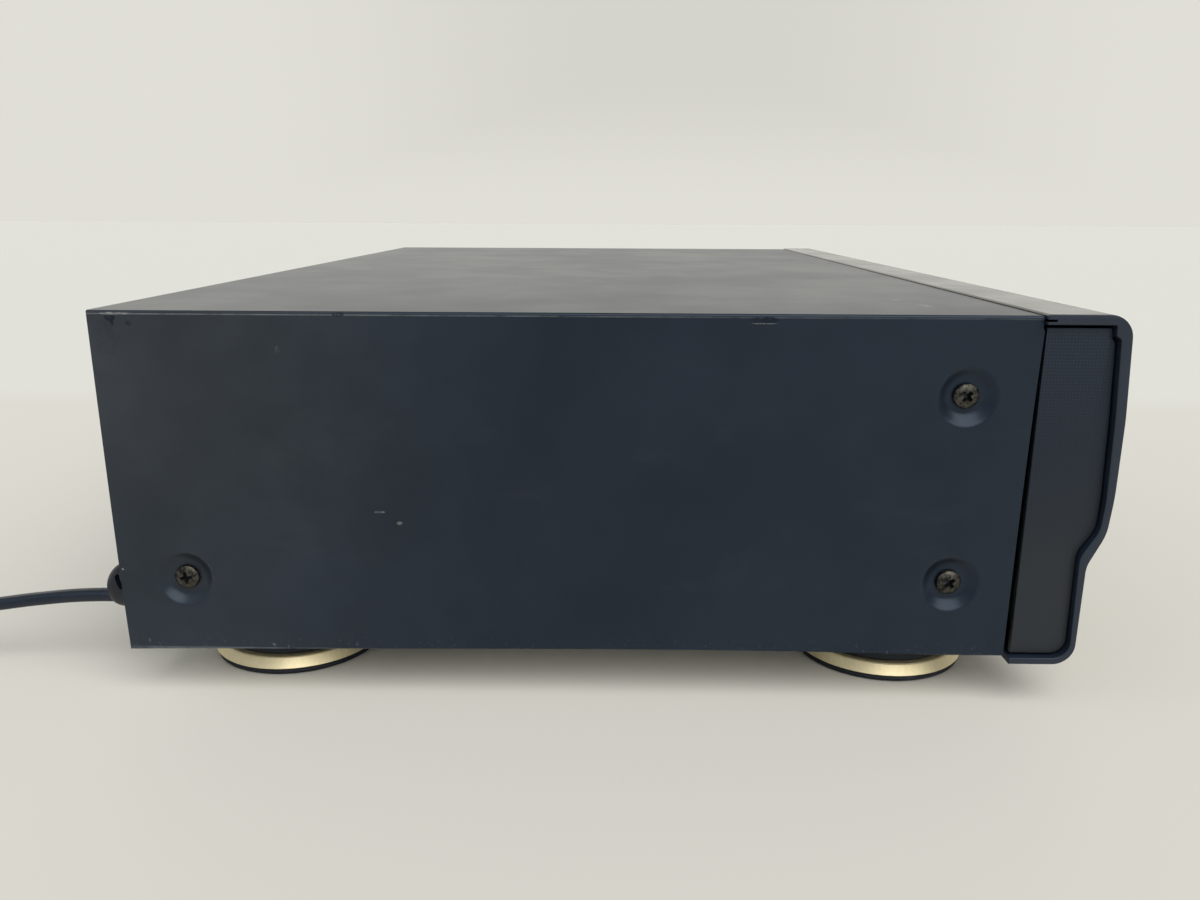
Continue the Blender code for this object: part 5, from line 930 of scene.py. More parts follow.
def smooth_route(knots, steps=10):
    """Points on a smooth curve through knots: each stretch is the cubic blend of its four nearest knots."""
    known = np.array(knots, float)
    ends = np.vstack([2 * known[0] - known[1], known, 2 * known[-1] - known[-2]])
    p0, p1, p2, p3 = (ends[k : len(known) - 1 + k][:, None] for k in range(4))
    t = np.linspace(0, 1, steps, endpoint=False)[None, :, None]
    bend = 2 * p0 - 5 * p1 + 4 * p2 - p3
    twist = 3 * p1 - p0 - 3 * p2 + p3
    stretch = (2 * p1 + (p2 - p0) * t + bend * t**2 + twist * t**3) / 2
    return np.vstack([stretch.reshape(-1, 3), known[-1:]])


def coil_path(cord):
    """The put-away coil: its radius falls and grows again with the turn, and its height eases up a layer."""
    turns_in = cord.coil_turns / 2
    outer = cord.coil_radius + turns_in * cord.coil_pitch
    end = LEAD_ROUTE[-1]
    centre = (end[0] + outer, end[1] + FIT + cord.width)
    turn = np.linspace(0, cord.coil_turns, round(cord.coil_turns * STEPS_A_TURN) + 1)
    radius = cord.coil_radius + np.abs(turn - turns_in) * cord.coil_pitch
    climb = np.clip((turn - turns_in) * 2 + 1 / 2, 0, 1)
    rise = cord.coil_pitch * climb**2 * (3 - 2 * climb)
    angle = math.pi - math.tau * turn
    wound = np.stack(
        [centre[0] + radius * np.cos(angle), centre[1] + radius * np.sin(angle), end[2] + rise], axis=1
    )
    along = np.linspace(cord.width, cord.tail, 14)
    share = np.clip((along - 0.008) / 0.016, 0, 1)
    drop = end[2] + cord.coil_pitch - cord.plug_thickness / 2
    height = end[2] + cord.coil_pitch - drop * share**2 * (3 - 2 * share)
    tail = np.stack([centre[0] + along, np.full_like(along, centre[1] + outer), height], axis=1)
    return np.vstack([wound, tail])


def flat_tube(path, width, thickness, sides=20):
    """Sections of a flat-sided oval lead: its broad side stays level while it follows the path."""
    ahead = np.gradient(path, axis=0)
    ahead /= np.linalg.norm(ahead, axis=1)[:, None]
    across = np.cross(ahead, (0, 0, 1))
    across /= np.linalg.norm(across, axis=1)[:, None]
    above = np.cross(across, ahead)
    outline = rounded_rectangle(width, thickness, thickness * 0.46, sides // 4)
    return path[:, None] + outline[None, :, :1] * across[:, None] + outline[None, :, 1:] * above[:, None]


def lead_along(name, path, cord):
    """A stretch of the lead that follows a path."""
    return settle(new_object(name, *skin(flat_tube(path, cord.width, cord.thickness)), finish("lead_jacket")))


def build_cord(cord):
    """Mains lead, its coil and the tail to the plug in one unbroken tube, and its end inside the bush."""
    path = np.vstack([smooth_route(LEAD_ROUTE), coil_path(cord)])
    path[:, 2] -= (cord.width - cord.thickness) / 2
    tube = lead_along("mains_cord", path, cord)
    give(tube, "player", "black_lead", "mains_lead", "mains_coil")
    inside = path[0] + np.linspace(-1, 0, 5)[:, None] * (0, LEAD_IN_BUSH, 0)
    neck = give(lead_along("lead_neck", inside, cord), "player", "black_lead")
    others = [neck, *build_plug()]


def build_plug():
    """Flat moulded plug: rounded sections of changing width and height, with grip grooves, and two pins."""
    low, high, middle = box_of("mains_plug")
    body = low[0] + PLUG_NECK
    front = high[0] - PIN_LENGTH
    along = np.linspace(0, 1, 49)
    width = np.interp(along, (0, 0.25, 0.75, 1), (0.67, 1, 1, 1.25)) * PLUG_WIDTH
    width *= np.where(along > 0.985, 0.985, 1)
    height = np.interp(along, (0, 0.25, 1), (0.80, 1, 1)) * (high[2] - low[2])
    grooves = np.clip(np.cos((along - 0.22) * math.tau / 0.085), 0, 1) * (along > 0.18) * (along < 0.64)
    height *= 1 - 0.06 * grooves
    sleeve = np.linspace(0, PLUG_NECK - 0.0006, 25)
    rings = 0.0080 + 0.0004 * np.sin(sleeve / PLUG_NECK * math.tau * 4.5)
    outlines = [rounded_rectangle(r, r * 0.94, r * 0.4) for r in rings]
    outlines += [rounded_rectangle(wide, tall, tall * 0.36) for wide, tall in zip(width, height)]
    places = [*(low[0] + sleeve), *(body + along * (front - body))]
    centred = [outline + middle[1:] for outline in outlines]
    moulding = new_object("plug_moulding", *skin(stacked(centred, places, 0)), finish("black_plastic"))
    give(settle(moulding), "player", "black_plastic", "mains_plug")
    pieces = [moulding]
    tip = high[0]
    profile = [(0, front - 0.002), (0.0020, front - 0.002), (0.0020, front + 0.0098)]
    profile += [(0.0019, front + 0.0100), (0.0019, tip - 0.0012), (0.0015, tip - 0.0003)]
    profile += [(0.0010, tip), (0, tip)]
    band = [(0.0019, front - 0.001), (0.0021, front - 0.001), (0.0021, front + 0.0095)]
    band += [(0.0020, front + 0.0099), (0.0019, front + 0.0099)]
    for name, sign in (("left", -1), ("right", 1)):
        centre = (0, middle[1] + sign * PIN_OFFSET, middle[2])
        pin = settle(turned(f"plug_pin_{name}", profile, centre, 0, 32, finish("nickel")))
        pieces.append(give(pin, "player", "zinc_steel"))
        cover = turned(f"pin_sleeve_{name}", band, centre, 0, 32, finish("black_plastic"), True)
        pieces.append(give(settle(cover), "player", "black_plastic"))
    return pieces


def screw_places():
    """Name, depth behind the cover's front edge, height and recess's turn of the screws on one side."""
    depth = COVER_HIGH[1] - COVER_FRONT
    return (
        ("front_upper", 0.0194, 0.0827, 42),
        ("front_lower", 0.0191, 0.0246, 50),
        ("rear_lower", depth - 0.0203, 0.0239, -8),
    )


def dimple_relief(y, z, case):
    """Depth of the embossing at each point of a side wall: a flat floor, then a soft slope up to the wall."""
    depth = np.zeros(np.broadcast(y, z).shape)
    for _, along, height, _ in screw_places():
        away = np.hypot(y - COVER_FRONT - along, z - CASE_FOOT - height)
        share = np.clip((away - case.dimple_floor) / (case.dimple - case.dimple_floor), 0, 1) ** 1.35
        depth += case.dimple_depth * (1 - share**2 * (3 - 2 * share))
    return depth


def edge_wander(y, z):
    """How far the side's edges stand from the plain sheet's: along y at front and rear, and up at the foot.

    Each is a curve of the share of height or depth, times a fade that ends a little way in from the edge.
    """
    share = np.clip((z - CASE_FOOT) / (COVER_TOP - CASE_FOOT), 0, 1)
    below_fold = np.clip((COVER_TOP - 0.0034 - z) / 0.0010, 0, 1)
    at_front = np.clip(1 - (y - COVER_FRONT) / 0.006, 0, 1)
    at_rear = np.clip(1 - (COVER_HIGH[1] - y) / 0.006, 0, 1)
    at_foot = np.clip(1 - (z - CASE_FOOT) / 0.012, 0, 1)
    along = at_front * below_fold * (0.0004 - 0.0010 * share**3) - at_rear * 0.0006 * (1 - share) ** 4
    bow = np.sin(math.pi * np.clip((0.10 - y) / 0.213, 0, 1) ** 1.4)
    return along, at_foot * (0.0009 * (1 - np.exp((y - COVER_HIGH[1]) / 0.045)) + 0.0008 * bow)


def fine_places(low, high, centres):
    """Places from low to high, in fine steps round the dimples' centres and coarse ones elsewhere."""
    marks = [np.arange(low, high, COARSE_STEP), [high]]
    marks += [np.arange(c - DIMPLE_REACH, c + DIMPLE_REACH, FINE_STEP) for c in centres]
    return np.unique(np.round(np.clip(np.concatenate(marks), low, high), 6))


def build_cover(case):
    """One bent sheet: up one side, over the roof and down the other, with dimples pressed into its sides."""
    places = screw_places()
    depths = sorted({COVER_FRONT + p[1] for p in places})
    heights = sorted({CASE_FOOT + p[2] for p in places})
    y = fine_places(COVER_FRONT, COVER_HIGH[1], depths)
    wall_top = COVER_TOP - case.bend
    z = fine_places(CASE_FOOT, wall_top, heights)
    z = np.unique(np.round(np.append(z, (COVER_TOP - 0.0044, COVER_TOP - 0.0034, wall_top - FOLD_HOLD)), 6))
    turn = np.linspace(0, math.pi / 2, 9)[1:-1]
    arc_x = case.bend * (1 - np.cos(turn))
    arc_z = case.bend * np.sin(turn)
    flat = COVER_HALF - case.bend
    roof = np.concatenate([[-flat], np.linspace(FOLD_HOLD - flat, flat - FOLD_HOLD, 13), [flat]])
    across = np.concatenate([
        np.full_like(z, -COVER_HALF), arc_x - COVER_HALF, roof,
        COVER_HALF - arc_x[::-1], np.full_like(z, COVER_HALF),
    ])
    height = np.concatenate([
        z, wall_top + arc_z, np.full_like(roof, COVER_TOP), wall_top + arc_z[::-1], z[::-1]
    ])
    on_wall = np.isclose(np.abs(across), COVER_HALF)
    pressed = dimple_relief(y[:, None], height[None, :], case) * on_wall
    sheet = np.empty((len(y), len(across), 3))
    sheet[..., 0] = across - np.sign(across) * pressed
    along, up = edge_wander(y[:, None], height[None, :])
    sheet[..., 1] = y[:, None] + along * on_wall
    sheet[..., 2] = height + up * on_wall
    cover = new_object("cover", *skin(sheet, caps=False, closed=False), finish("satin_steel"))
    if cover.data.polygons[0].normal.x > 0:
        cover.data.flip_normals()
    wall = cover.modifiers.new("wall", "SOLIDIFY")
    wall.thickness = case.sheet
    wall.offset = -1
    settle(cover)
    give(cover, "player", "black_steel", "top_cover")


def cross_tool(centre, axis, sign, turn, head):
    """Tapered cross that cuts a screw's recess: twelve points in outline, narrower at each lower section."""
    arm, wide = head * 0.47, head * 0.115
    inner = wide * 1.5
    corners = np.array([
        (-arm, -wide), (-inner, -inner), (-wide, -arm), (wide, -arm), (inner, -inner), (arm, -wide),
        (arm, wide), (inner, inner), (wide, arm), (-wide, arm), (-inner, inner), (-arm, wide),
    ])
    c, s = math.cos(turn), math.sin(turn)
    shape = corners @ np.array([[c, s], [-s, c]])
    others = [centre[k] for k in range(3) if k != axis]
    outlines = [shape * k + others for k in (1.12, 0.95, 0.45)]
    places = [centre[axis] + sign * head * p for p in (0.15, -0.34, -0.62)]
    return new_object("recess", *skin(stacked(outlines, places, axis)))


def pan_screw(name, seat, axis, sign, head, shank, turn, material):
    """Pan-head screw: a quarter ellipse on a low rim, turned about its axis, with a cross cut into it."""
    angle = np.linspace(0, math.pi / 2, 12)
    rim, rise = head * 0.2, head * 0.34
    dome = np.stack([head * np.cos(angle), sign * (rim + rise * np.sin(angle))], axis=1)
    profile = [(0, -sign * shank), (head * 0.45, -sign * shank), (head * 0.45, 0), (head * 0.95, 0)]
    profile += [(head, sign * head * 0.05), *dome.tolist()[:-1], (0, sign * (rim + rise))]
    screw = turned(name, profile, seat, axis, 64, material)
    top = np.array(seat, float)
    top[axis] += sign * (rim + rise)
    carve(screw, cross_tool(top, axis, sign, math.radians(turn), head))
    # The cross recess is painted dark: painted shade
    blacken_recess(screw.data, seat, axis, sign, head, (rim, rise))
    return screw


def blacken_recess(mesh, seat, axis, sign, head, dome):
    """Painted shade: a near-black finish for the faces near a screw's axis that lie below its dome, a quarter
    ellipse on a rim.
    """
    mesh.materials.append(finish("painted_recess_shade"))
    centre = np.empty(3 * len(mesh.polygons))
    mesh.polygons.foreach_get("center", centre)
    from_seat = centre.reshape(-1, 3) - seat
    height = sign * from_seat[:, axis]
    away = np.hypot(*np.delete(from_seat, axis, 1).T)
    surface = dome[0] + dome[1] * np.sqrt(np.clip(1 - (away / head) ** 2, 0, 1))
    below = (away < head * 0.6) & (height < surface - head * 0.05) & (height > 0)
    mesh.polygons.foreach_set("material_index", below.astype(np.int32))


def build_screws(case):
    """The cover's screws, seated on the floors of its dimples, each turned its own way."""
    for side, sign in (("left", -1), ("right", 1)):
        for place, along, height, turn in screw_places():
            seat = (sign * (COVER_HALF - SCREW_SEAT), COVER_FRONT + along, CASE_FOOT + height)
            name = f"screw_{side}_{place}"
            screw = pan_screw(name, seat, 0, sign, case.screw_head, COVER_SHANK, turn, finish("bronze_zinc"))
            give(screw, "player", "bronze_zinc", f"cover_screw_{side}_{place}")


def build_rear_screws():
    """Screws that hold the rear panel, near its corners and along its top."""
    low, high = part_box("rear_panel")
    spots = [(x, high[2] - 0.006) for x in (-0.205, -0.070, 0.070, 0.205)]
    spots += [(x, low[2] + 0.0045) for x in (-0.165, 0.020, 0.165)]
    spots += [(0.100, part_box("line_out_sockets")[1][2] + 0.004)]
    for k, (x, z) in enumerate(spots):
        seat = (x, PANEL_FACE - FIT, z)
        turn = 17 + 39 * k
        screw = pan_screw(f"rear_screw_{k + 1}", seat, 1, 1, *REAR_SCREW, turn, finish("bronze_zinc"))
        give(screw, "player", "bronze_zinc")


def fascia_outline(shares, radii):
    """World y and z of one of the fascia's side profiles: rounded corners with short flats beside them."""
    corners = [(COVER_FRONT - d * FASCIA_DEPTH, FASCIA_LOW[2] + h * FASCIA_HEIGHT) for d, h in shares]
    arcs = corner_arcs(corners, radii, PROFILE_STEPS).reshape(len(corners), PROFILE_STEPS + 1, 2)
    here = np.array(corners)
    back, ahead = np.roll(here, 1, axis=0) - here, np.roll(here, -1, axis=0) - here
    back *= PROFILE_HOLD / np.linalg.norm(back, axis=1)[:, None]
    ahead *= PROFILE_HOLD / np.linalg.norm(ahead, axis=1)[:, None]
    parts = []
    for arc, radius, before, after in zip(arcs, radii, back, ahead):
        parts.append(arc[:1] if radius < PROFILE_HOLD else np.vstack([arc[0] + before, arc, arc[-1] + after]))
    return np.vstack(parts)


def moved_in(outline, margin):
    """A closed outline with every point moved inwards along the mean of its two sides' normals."""
    before = outline - np.roll(outline, 1, axis=0)
    after = np.roll(outline, -1, axis=0) - outline
    before /= np.linalg.norm(before, axis=1)[:, None]
    after /= np.linalg.norm(after, axis=1)[:, None]
    area = (outline[:, 0] * np.roll(outline[:, 1], -1) - np.roll(outline[:, 0], -1) * outline[:, 1]).sum()
    turn = np.array([[0, 1], [-1, 0]]) * (1 if area > 0 else -1)
    normal = (before + after) @ turn
    normal /= np.linalg.norm(normal, axis=1)[:, None]
    lean = np.maximum((normal * (before @ turn)).sum(1), 0.5)
    return outline + normal * (margin / lean)[:, None]


def rounded_ends(outline, low, high, edge, steps=3):
    """Outlines and places of a prism along an axis whose ends are rounded off by a quarter circle."""
    turn = np.linspace(0, math.pi / 2, steps + 1)
    insets = np.append(edge * (1 - np.sin(turn)), 0)
    marks = np.append(edge * (1 - np.cos(turn)), 2 * edge)
    outlines = [moved_in(outline, m) if m > 0 else outline for m in insets]
    return outlines + outlines[::-1], [*(low + marks), *(high - marks[::-1])]


def front_openings():
    """Name, range in x, range in z and corner radius of each opening in the front wall."""
    rows = [("slot", "tray_front", FLAP_GAP, 0.0008), ("window", "display_window", FIT, 0.0018)]
    rows += [(name, name, RUN - BUTTON_FLANGE, BUTTON_CORNER + RUN) for name in BUTTONS]
    for name, node, gap, corner in rows:
        low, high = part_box(node)
        yield name, (low[0] - gap, high[0] + gap), (low[2] - gap, high[2] + gap), corner


def coat_inside(fascia):
    """Coated finish for the shell's ends, its rear edges and every face that looks into its hollow."""
    mesh = fascia.data
    mesh.materials.append(finish("coated_edge"))
    normal, centre = (np.empty(3 * len(mesh.polygons)) for _ in range(2))
    mesh.polygons.foreach_get("normal", normal)
    mesh.polygons.foreach_get("center", centre)
    normal, centre = normal.reshape(-1, 3), centre.reshape(-1, 3)
    hollow = np.array([COVER_FRONT - FASCIA_DEPTH / 3, FASCIA_LOW[2] + FASCIA_HEIGHT / 2])
    inwards = (normal[:, 1:] * (hollow - centre[:, 1:])).sum(1) > 0
    coated = inwards | (np.abs(normal[:, 0]) > 0.5) | (normal[:, 1] > 0.5)
    mesh.polygons.foreach_set("material_index", coated.astype(np.int32))


def build_fascia():
    """Shell of one side profile from end to end, with rounded ends, then the openings in its front wall."""
    outer = fascia_outline(OUTER_CORNER_SHARES, OUTER_RADII)
    inner = fascia_outline(INNER_CORNER_SHARES, INNER_RADII)
    outline = np.vstack([outer, inner[::-1]])
    sections = stacked(*rounded_ends(outline, -FASCIA_HALF, FASCIA_HALF, SHELL_EDGE), 0)
    fascia = new_object("fascia", *skin(sections), finish("dark_aluminium"))
    wall = tuple(COVER_FRONT - depth for depth in CUT_DEPTHS)
    tools = []
    for name, (left, right), (low, high), corner in front_openings():
        centre = np.array([(left + right) / 2, (low + high) / 2])
        shape = rounded_rectangle(right - left, high - low, corner) + centre
        tools.append(prism(f"cut_{name}", shape, 1, *wall))
    for name, radius in (("level_knob", 0.0034), ("headphone_socket", 0.0049)):
        middle = box_of(name)[2]
        profile = [(0, wall[0]), (radius, wall[0]), (radius, wall[1]), (0, wall[1])]
        tools.append(turned(f"cut_{name}", profile, (middle[0], 0, middle[2]), 1, 48))
    reach = FASCIA_HALF + 0.002
    groove = np.array(HOOK_GROOVE) + (COVER_FRONT, FASCIA_TOP)
    tools.append(prism("cut_hook_groove", groove, 0, -reach, reach))
    carve(fascia, *tools)
    coat_inside(fascia)
    give(fascia, "player", "dark_aluminium", "front_fascia")


def build_end_caps():
    """Dotted plates in the shell's ends: a profile a little inside the shell's own, with rounded rims."""
    ring = fascia_outline(CAP_CORNER_SHARES, CAP_RADII)
    for side in ("left", "right"):
        low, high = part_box(f"fascia_end_cap_{side}")
        sections = stacked(*rounded_ends(ring, low[0], high[0], CAP_EDGE), 0)
        cap = settle(new_object(f"end_cap_{side}", *skin(sections), finish("dotted_plastic")))
        give(cap, "player", "black_plastic", f"fascia_end_cap_{side}")


def build_feet():
    """Rubber-soled feet turned from one profile, each with a chamfered gold ring round it."""
    for place in ("front_left", "front_right", "rear_left", "rear_right"):
        _, high, (x, y, _) = box_of(f"foot_{place}")
        centre = (x, y, 0)
        profile = [*FOOT_PROFILE, (0.0040, high[2] - 0.0005), (0.0035, high[2]), (0, high[2])]
        foot = settle(turned(f"foot_pad_{place}", profile, centre, 2, 128, finish("matt_rubber")))
        give(foot, "player", "black_rubber", f"foot_{place}")
        seat = (x, y, FOOT_SCREW_SEAT)
        screw = pan_screw(f"foot_screw_{place}", seat, 2, -1, *FOOT_SCREW, 21, finish("zinc_steel"))
        give(screw, "player", "zinc_steel")
        ring = turned(f"foot_band_{place}", RING_PROFILE, centre, 2, 160, finish("champagne_gold"), True)
        give(settle(ring, RING_SHARP_DEGREES), "player", "champagne_gold", f"foot_ring_{place}")


def merged(parts):
    """Points and faces of several meshes as one."""
    points, faces, start = [], [], 0
    for some_points, some_faces in parts:
        points.append(some_points)
        faces += [[index + start for index in face] for face in some_faces]
        start += len(some_points)
    return np.vstack(points), faces


def printed(name, outlines, front, body, colour="print_white", depth=0.00005):
    """Ink on a face that looks forwards: each outline of x and z becomes a very thin plate."""
    plates = [skin(swept(outline, (front - depth, front + depth), 1)) for outline in outlines]
    return give(settle(new_object(name, *merged(plates), finish(colour))), body, "white_plastic")


def triangle(size, x, z, way=1):
    """Pointer of a transport symbol, towards +X, or towards -X with way -1."""
    half = size / 2
    back, tip = x - way * half * 0.87, x + way * half * 0.87
    return np.array([(back, z - half), (tip, z), (back, z + half)])


def bar(wide, tall, x, z):
    """Bar of a transport symbol, with its corners just off sharp."""
    return rounded_rectangle(wide, tall, 0.00008, 2) + (x, z)


def arc_band(radius, wide, first, last, x, z, steps=24):
    """Band along an arc: out along its outer radius and back along its inner one."""
    angle = np.radians(np.linspace(first, last, steps))
    ring = np.stack([np.cos(angle), np.sin(angle)], axis=1)
    return np.vstack([ring * (radius + wide / 2), ring[::-1] * (radius - wide / 2)]) + (x, z)


def symbols(name, x, z, size):
    """Outlines of the usual sign of a control."""
    step = size * 0.62
    signs = {
        "play_button": [triangle(size, x, z)],
        "pause_button": [bar(size * 0.28, size, x + way * size * 0.3, z) for way in (-1, 1)],
        "stop_button": [bar(size * 0.86, size * 0.86, x, z)],
        "skip_back_button": [bar(size * 0.2, size, x - step, z), triangle(size, x + size * 0.1, z, -1)],
        "skip_forward_button": [triangle(size, x - size * 0.1, z), bar(size * 0.2, size, x + step, z)],
        "open_close_button": [
            np.array([(x - size / 2, z - size * 0.1), (x + size / 2, z - size * 0.1), (x, z + size / 2)]),
            bar(size, size * 0.2, x, z - size * 0.4),
        ],
        "power_button": [
            arc_band(size * 0.42, size * 0.14, 118, 422, x, z),
            bar(size * 0.14, size * 0.5, x, z + size * 0.36),
        ],
    }
    return signs[name]


def build_buttons():
    """Each button: rounded sections from a slightly dished face back to its flange and stem."""
    for name in BUTTONS:
        low, high, (x, _, z) = box_of(name)
        wide, tall = high[0] - low[0] - 2 * BUTTON_FLANGE, high[2] - low[2] - 2 * BUTTON_FLANGE
        face = low[1]
        wall = face + BUTTON_PROUD + FRONT_WALL
        sections = [(face + depth, wide + grow, tall + grow, corner) for depth, grow, corner in BUTTON_FACE]
        sections += [(wall + depth, wide + grow, tall + grow, corner) for depth, grow, corner in BUTTON_FOOT]
        sections += [(wall + 0.0014, 0.0044, 0.0044, 0.0006), (high[1], 0.0040, 0.0040, 0.0006)]
        outlines = [rounded_rectangle(w, h, r) + (x, z) for _, w, h, r in sections]
        places = [section[0] for section in sections]
        cap = settle(new_object(f"{name}_cap", *skin(stacked(outlines, places, 1)), finish("black_plastic")))
        give(cap, name, "black_plastic", name)
        if name in SIGNED_BUTTONS:
            printed(f"{name}_sign", symbols(name, x, z, 0.0030), face + 0.00033, name)
        else:
            printed(f"{name}_sign", symbols(name, x, z + 0.0085, 0.0026), BAND_FACE, "player")


def build_knob():
    """Fluted knob: its radius follows a cosine of the angle round it, fading out towards face and back."""
    low, high, _ = box_of("level_knob")
    face, back = low[1], BAND_FACE - RUN
    rows = (
        (0, face + 0.0005, 0), (0.0025, face + 0.0004, 0), (0.0046, face + 0.0001, 0), (0.0051, face, 0),
        (0.0056, face + 0.00015, 0), (0.0061, face + 0.0007, 0.0002), (0.0064, face + 0.0014, 1),
        (0.0065, face + 0.0018, 1), (0.0065, back - 0.0012, 1), (0.0065, back - 0.0008, 0), (0.0065, back, 0),
        (0.0030, back, 0), (0.0030, high[1], 0), (0, high[1], 0),
    )
    angle = np.linspace(0, math.tau, 8 * KNOB_FLUTES, endpoint=False)
    flute = FLUTE_DEPTH * (0.5 - 0.5 * np.cos(KNOB_FLUTES * angle))
    radius, place, share = np.array(rows).T
    reach = radius[:, None] - share[:, None] * flute[None, :]
    sections = np.empty((len(rows), len(angle), 3))
    sections[:, :, 0] = KNOB_X + reach * np.cos(angle)
    sections[:, :, 1] = place[:, None]
    sections[:, :, 2] = BAND_HEIGHT + reach * np.sin(angle)
    knob = settle(new_object("fluted_knob", *skin(sections, caps=False), finish("black_plastic")))
    give(knob, "level_knob", "black_plastic", "level_knob")
    line = bar(0.0006, 0.0030, KNOB_X, BAND_HEIGHT + 0.0038)
    printed("knob_line", [line], face + 0.00022, "level_knob", depth=0.0002)
    turns = np.linspace(-60, 240, 11)
    ticks = [arc_band(0.0087, 0.0010, turn - 1.6, turn + 1.6, KNOB_X, BAND_HEIGHT, 3) for turn in turns]
    printed("level_ticks", ticks, BAND_FACE, "player")


def build_jack_ring():
    """Plated ring round the headphone socket's bore, with a rounded front edge."""
    front = BAND_FACE - 0.0012
    ring = [
        (0.00342, front + 0.0005), (0.0036, front + 0.0001), (0.0039, front), (0.0043, front + 0.0001),
        (0.0046, front + 0.0005), (0.0046, front + 0.0010), (0.00342, front + 0.0010),
    ]
    piece = turned("jack_ring", ring, (JACK_X, 0, BAND_HEIGHT), 1, 72, finish("nickel"), True)
    give(settle(piece), "player", "zinc_steel")


def build_tray_front():
    """Drawer flap: a plate whose face bows out a little, drawn in over its last half millimetre."""
    rows = [(0.0022, 0), (0.0008, 0.00003), (0.00035, 0.00012), (0.0001, 0.0003)]
    rows += [(0, 0.0006), (0, 0.0037), (0.0003, 0.0040)]
    flap = fronted("drawer_flap", "tray_front", rows, 0.0007, "dark_aluminium")
    give(flap, "drawer", "black_plastic", "tray_front")


def digit_outlines(x, z, tall):
    """Seven slanted bars of an unlit digit: three level ones and four upright ones, all with pointed ends."""
    half, wide, thick = tall / 2, tall * 0.26, tall * 0.055
    level = np.array([
        (-wide, 0), (-wide + thick, -thick), (wide - thick, -thick),
        (wide, 0), (wide - thick, thick), (-wide + thick, thick),
    ]) * (0.92, 1)
    upright = level[:, ::-1] * (1, half / wide / 2)
    for across, up, stands in SEGMENTS:
        outline = (upright if stands else level) + (across * wide, up * half)
        yield outline @ np.array([[1, 0], [0.12, 1]]) + (x, z)


def build_display():
    """Smoked window, and behind it a glass tube with its unlit digits and bars."""
    rows = [(0.0003, 0), (0.0001, 0.0001), (0, 0.0003), (0, 0.0020)]
    window = fronted("smoked_window", "display_window", rows, 0.0015, "smoked_acrylic")
    give(window, "player", "smoked_acrylic", "display_window")
    low, high, middle = box_of("display_tube")
    deep = high[1] - low[1]
    rows = [(0.0012, 0), (0.0004, 0.0002), (0, 0.0009), (0, deep - 0.0004), (0.0004, deep)]
    tube = fronted("glass_tube", "display_tube", rows, 0.002, "tube_glass")
    give(tube, "player", "tube_glass", "display_tube")
    signs = []
    for k in range(6):
        x = middle[0] - 0.040 + DIGIT_PITCH * k + 0.006 * (k // 2)
        signs += digit_outlines(x, middle[2] + 0.002, DIGIT_PITCH)
    signs += [bar(0.0022, 0.0016, middle[0] - 0.058 + 0.0061 * k, middle[2] - 0.0095) for k in range(20)]
    printed("unlit_segments", signs, low[1] - 0.00004, "player", "segment")


def build_line_sockets():
    """Two line sockets: a moulded block, plated shells turned round a coloured insulator, and their bores."""
    low, high, middle = box_of("line_out_sockets")
    rear, end = PANEL_FACE - 0.0010 - FIT, high[1]
    block = rounded_rectangle(high[0] - low[0], high[2] - low[2], 0.0012) + (middle[0], middle[2])
    body = new_object("socket_block", *skin(swept(block, (low[1], rear), 1)), finish("black_plastic"))
    soften(body, 0.0003)
    give(body, "player", "black_plastic", "line_out_sockets")
    for name, side, colour in (("left", 1, "insulator_white"), ("right", -1, "insulator_red")):
        centre = (0.100 + side * 0.007, 0, 0.039)
        shell = [
            (0.0033, rear - 0.001), (0.00415, rear - 0.001), (0.00415, end - 0.0006), (0.0040, end - 0.0002),
            (0.0037, end), (0.0034, end - 0.0001), (0.0033, end - 0.0005),
        ]
        ring = turned(f"line_shell_{name}", shell, centre, 1, 64, finish("nickel"), True)
        give(settle(ring), "player", "zinc_steel")
        core = [
            (0.0016, rear - 0.001), (0.00335, rear - 0.001), (0.00335, end - 0.0016), (0.0031, end - 0.0010),
            (0.0022, end - 0.0008), (0.0016, end - 0.0012),
        ]
        plug = turned(f"line_insulator_{name}", core, centre, 1, 48, finish(colour), True)
        give(settle(plug), "player", "white_plastic")
        collar = [
            (0.0042, PANEL_FACE + 0.00002), (0.0066, PANEL_FACE + 0.00002), (0.0066, PANEL_FACE + 0.0007),
            (0.0062, PANEL_FACE + 0.0011), (0.0042, PANEL_FACE + 0.0011),
        ]
        washer = turned(f"line_collar_{name}", collar, centre, 1, 48, finish(colour), True)
        give(settle(washer), "player", "white_plastic")


def build_optical_output():
    """Square optical output: a frame with rounded edges and a hinged shutter set into it."""
    low, high, middle = box_of("optical_output")
    size = high[0] - low[0]
    spot = middle[[0, 2]]
    block = rounded_rectangle(size, size, 0.0008) + spot
    body = prism("optical_block", block, 1, low[1], high[1], finish("black_plastic"))
    well = rounded_rectangle(size - 0.0030, size - 0.0034, 0.0012) + spot
    carve(body, prism("optical_well", well, 1, high[1] - 0.0012, high[1] + 0.001))
    soften(body, 0.0002)
    give(body, "player", "black_plastic", "optical_output")
    door = rounded_rectangle(size - 0.0034, size - 0.0038, 0.0010)
    outlines = [door * k + spot for k in (1.0, 1.0, 0.94)]
    places = [high[1] - 0.0013, high[1] - 0.0007, high[1] - 0.0005]
    shutter = new_object("optical_shutter", *skin(stacked(outlines, places, 1)), finish("grey_plastic"))
    give(settle(shutter), "player", "grey_plastic")


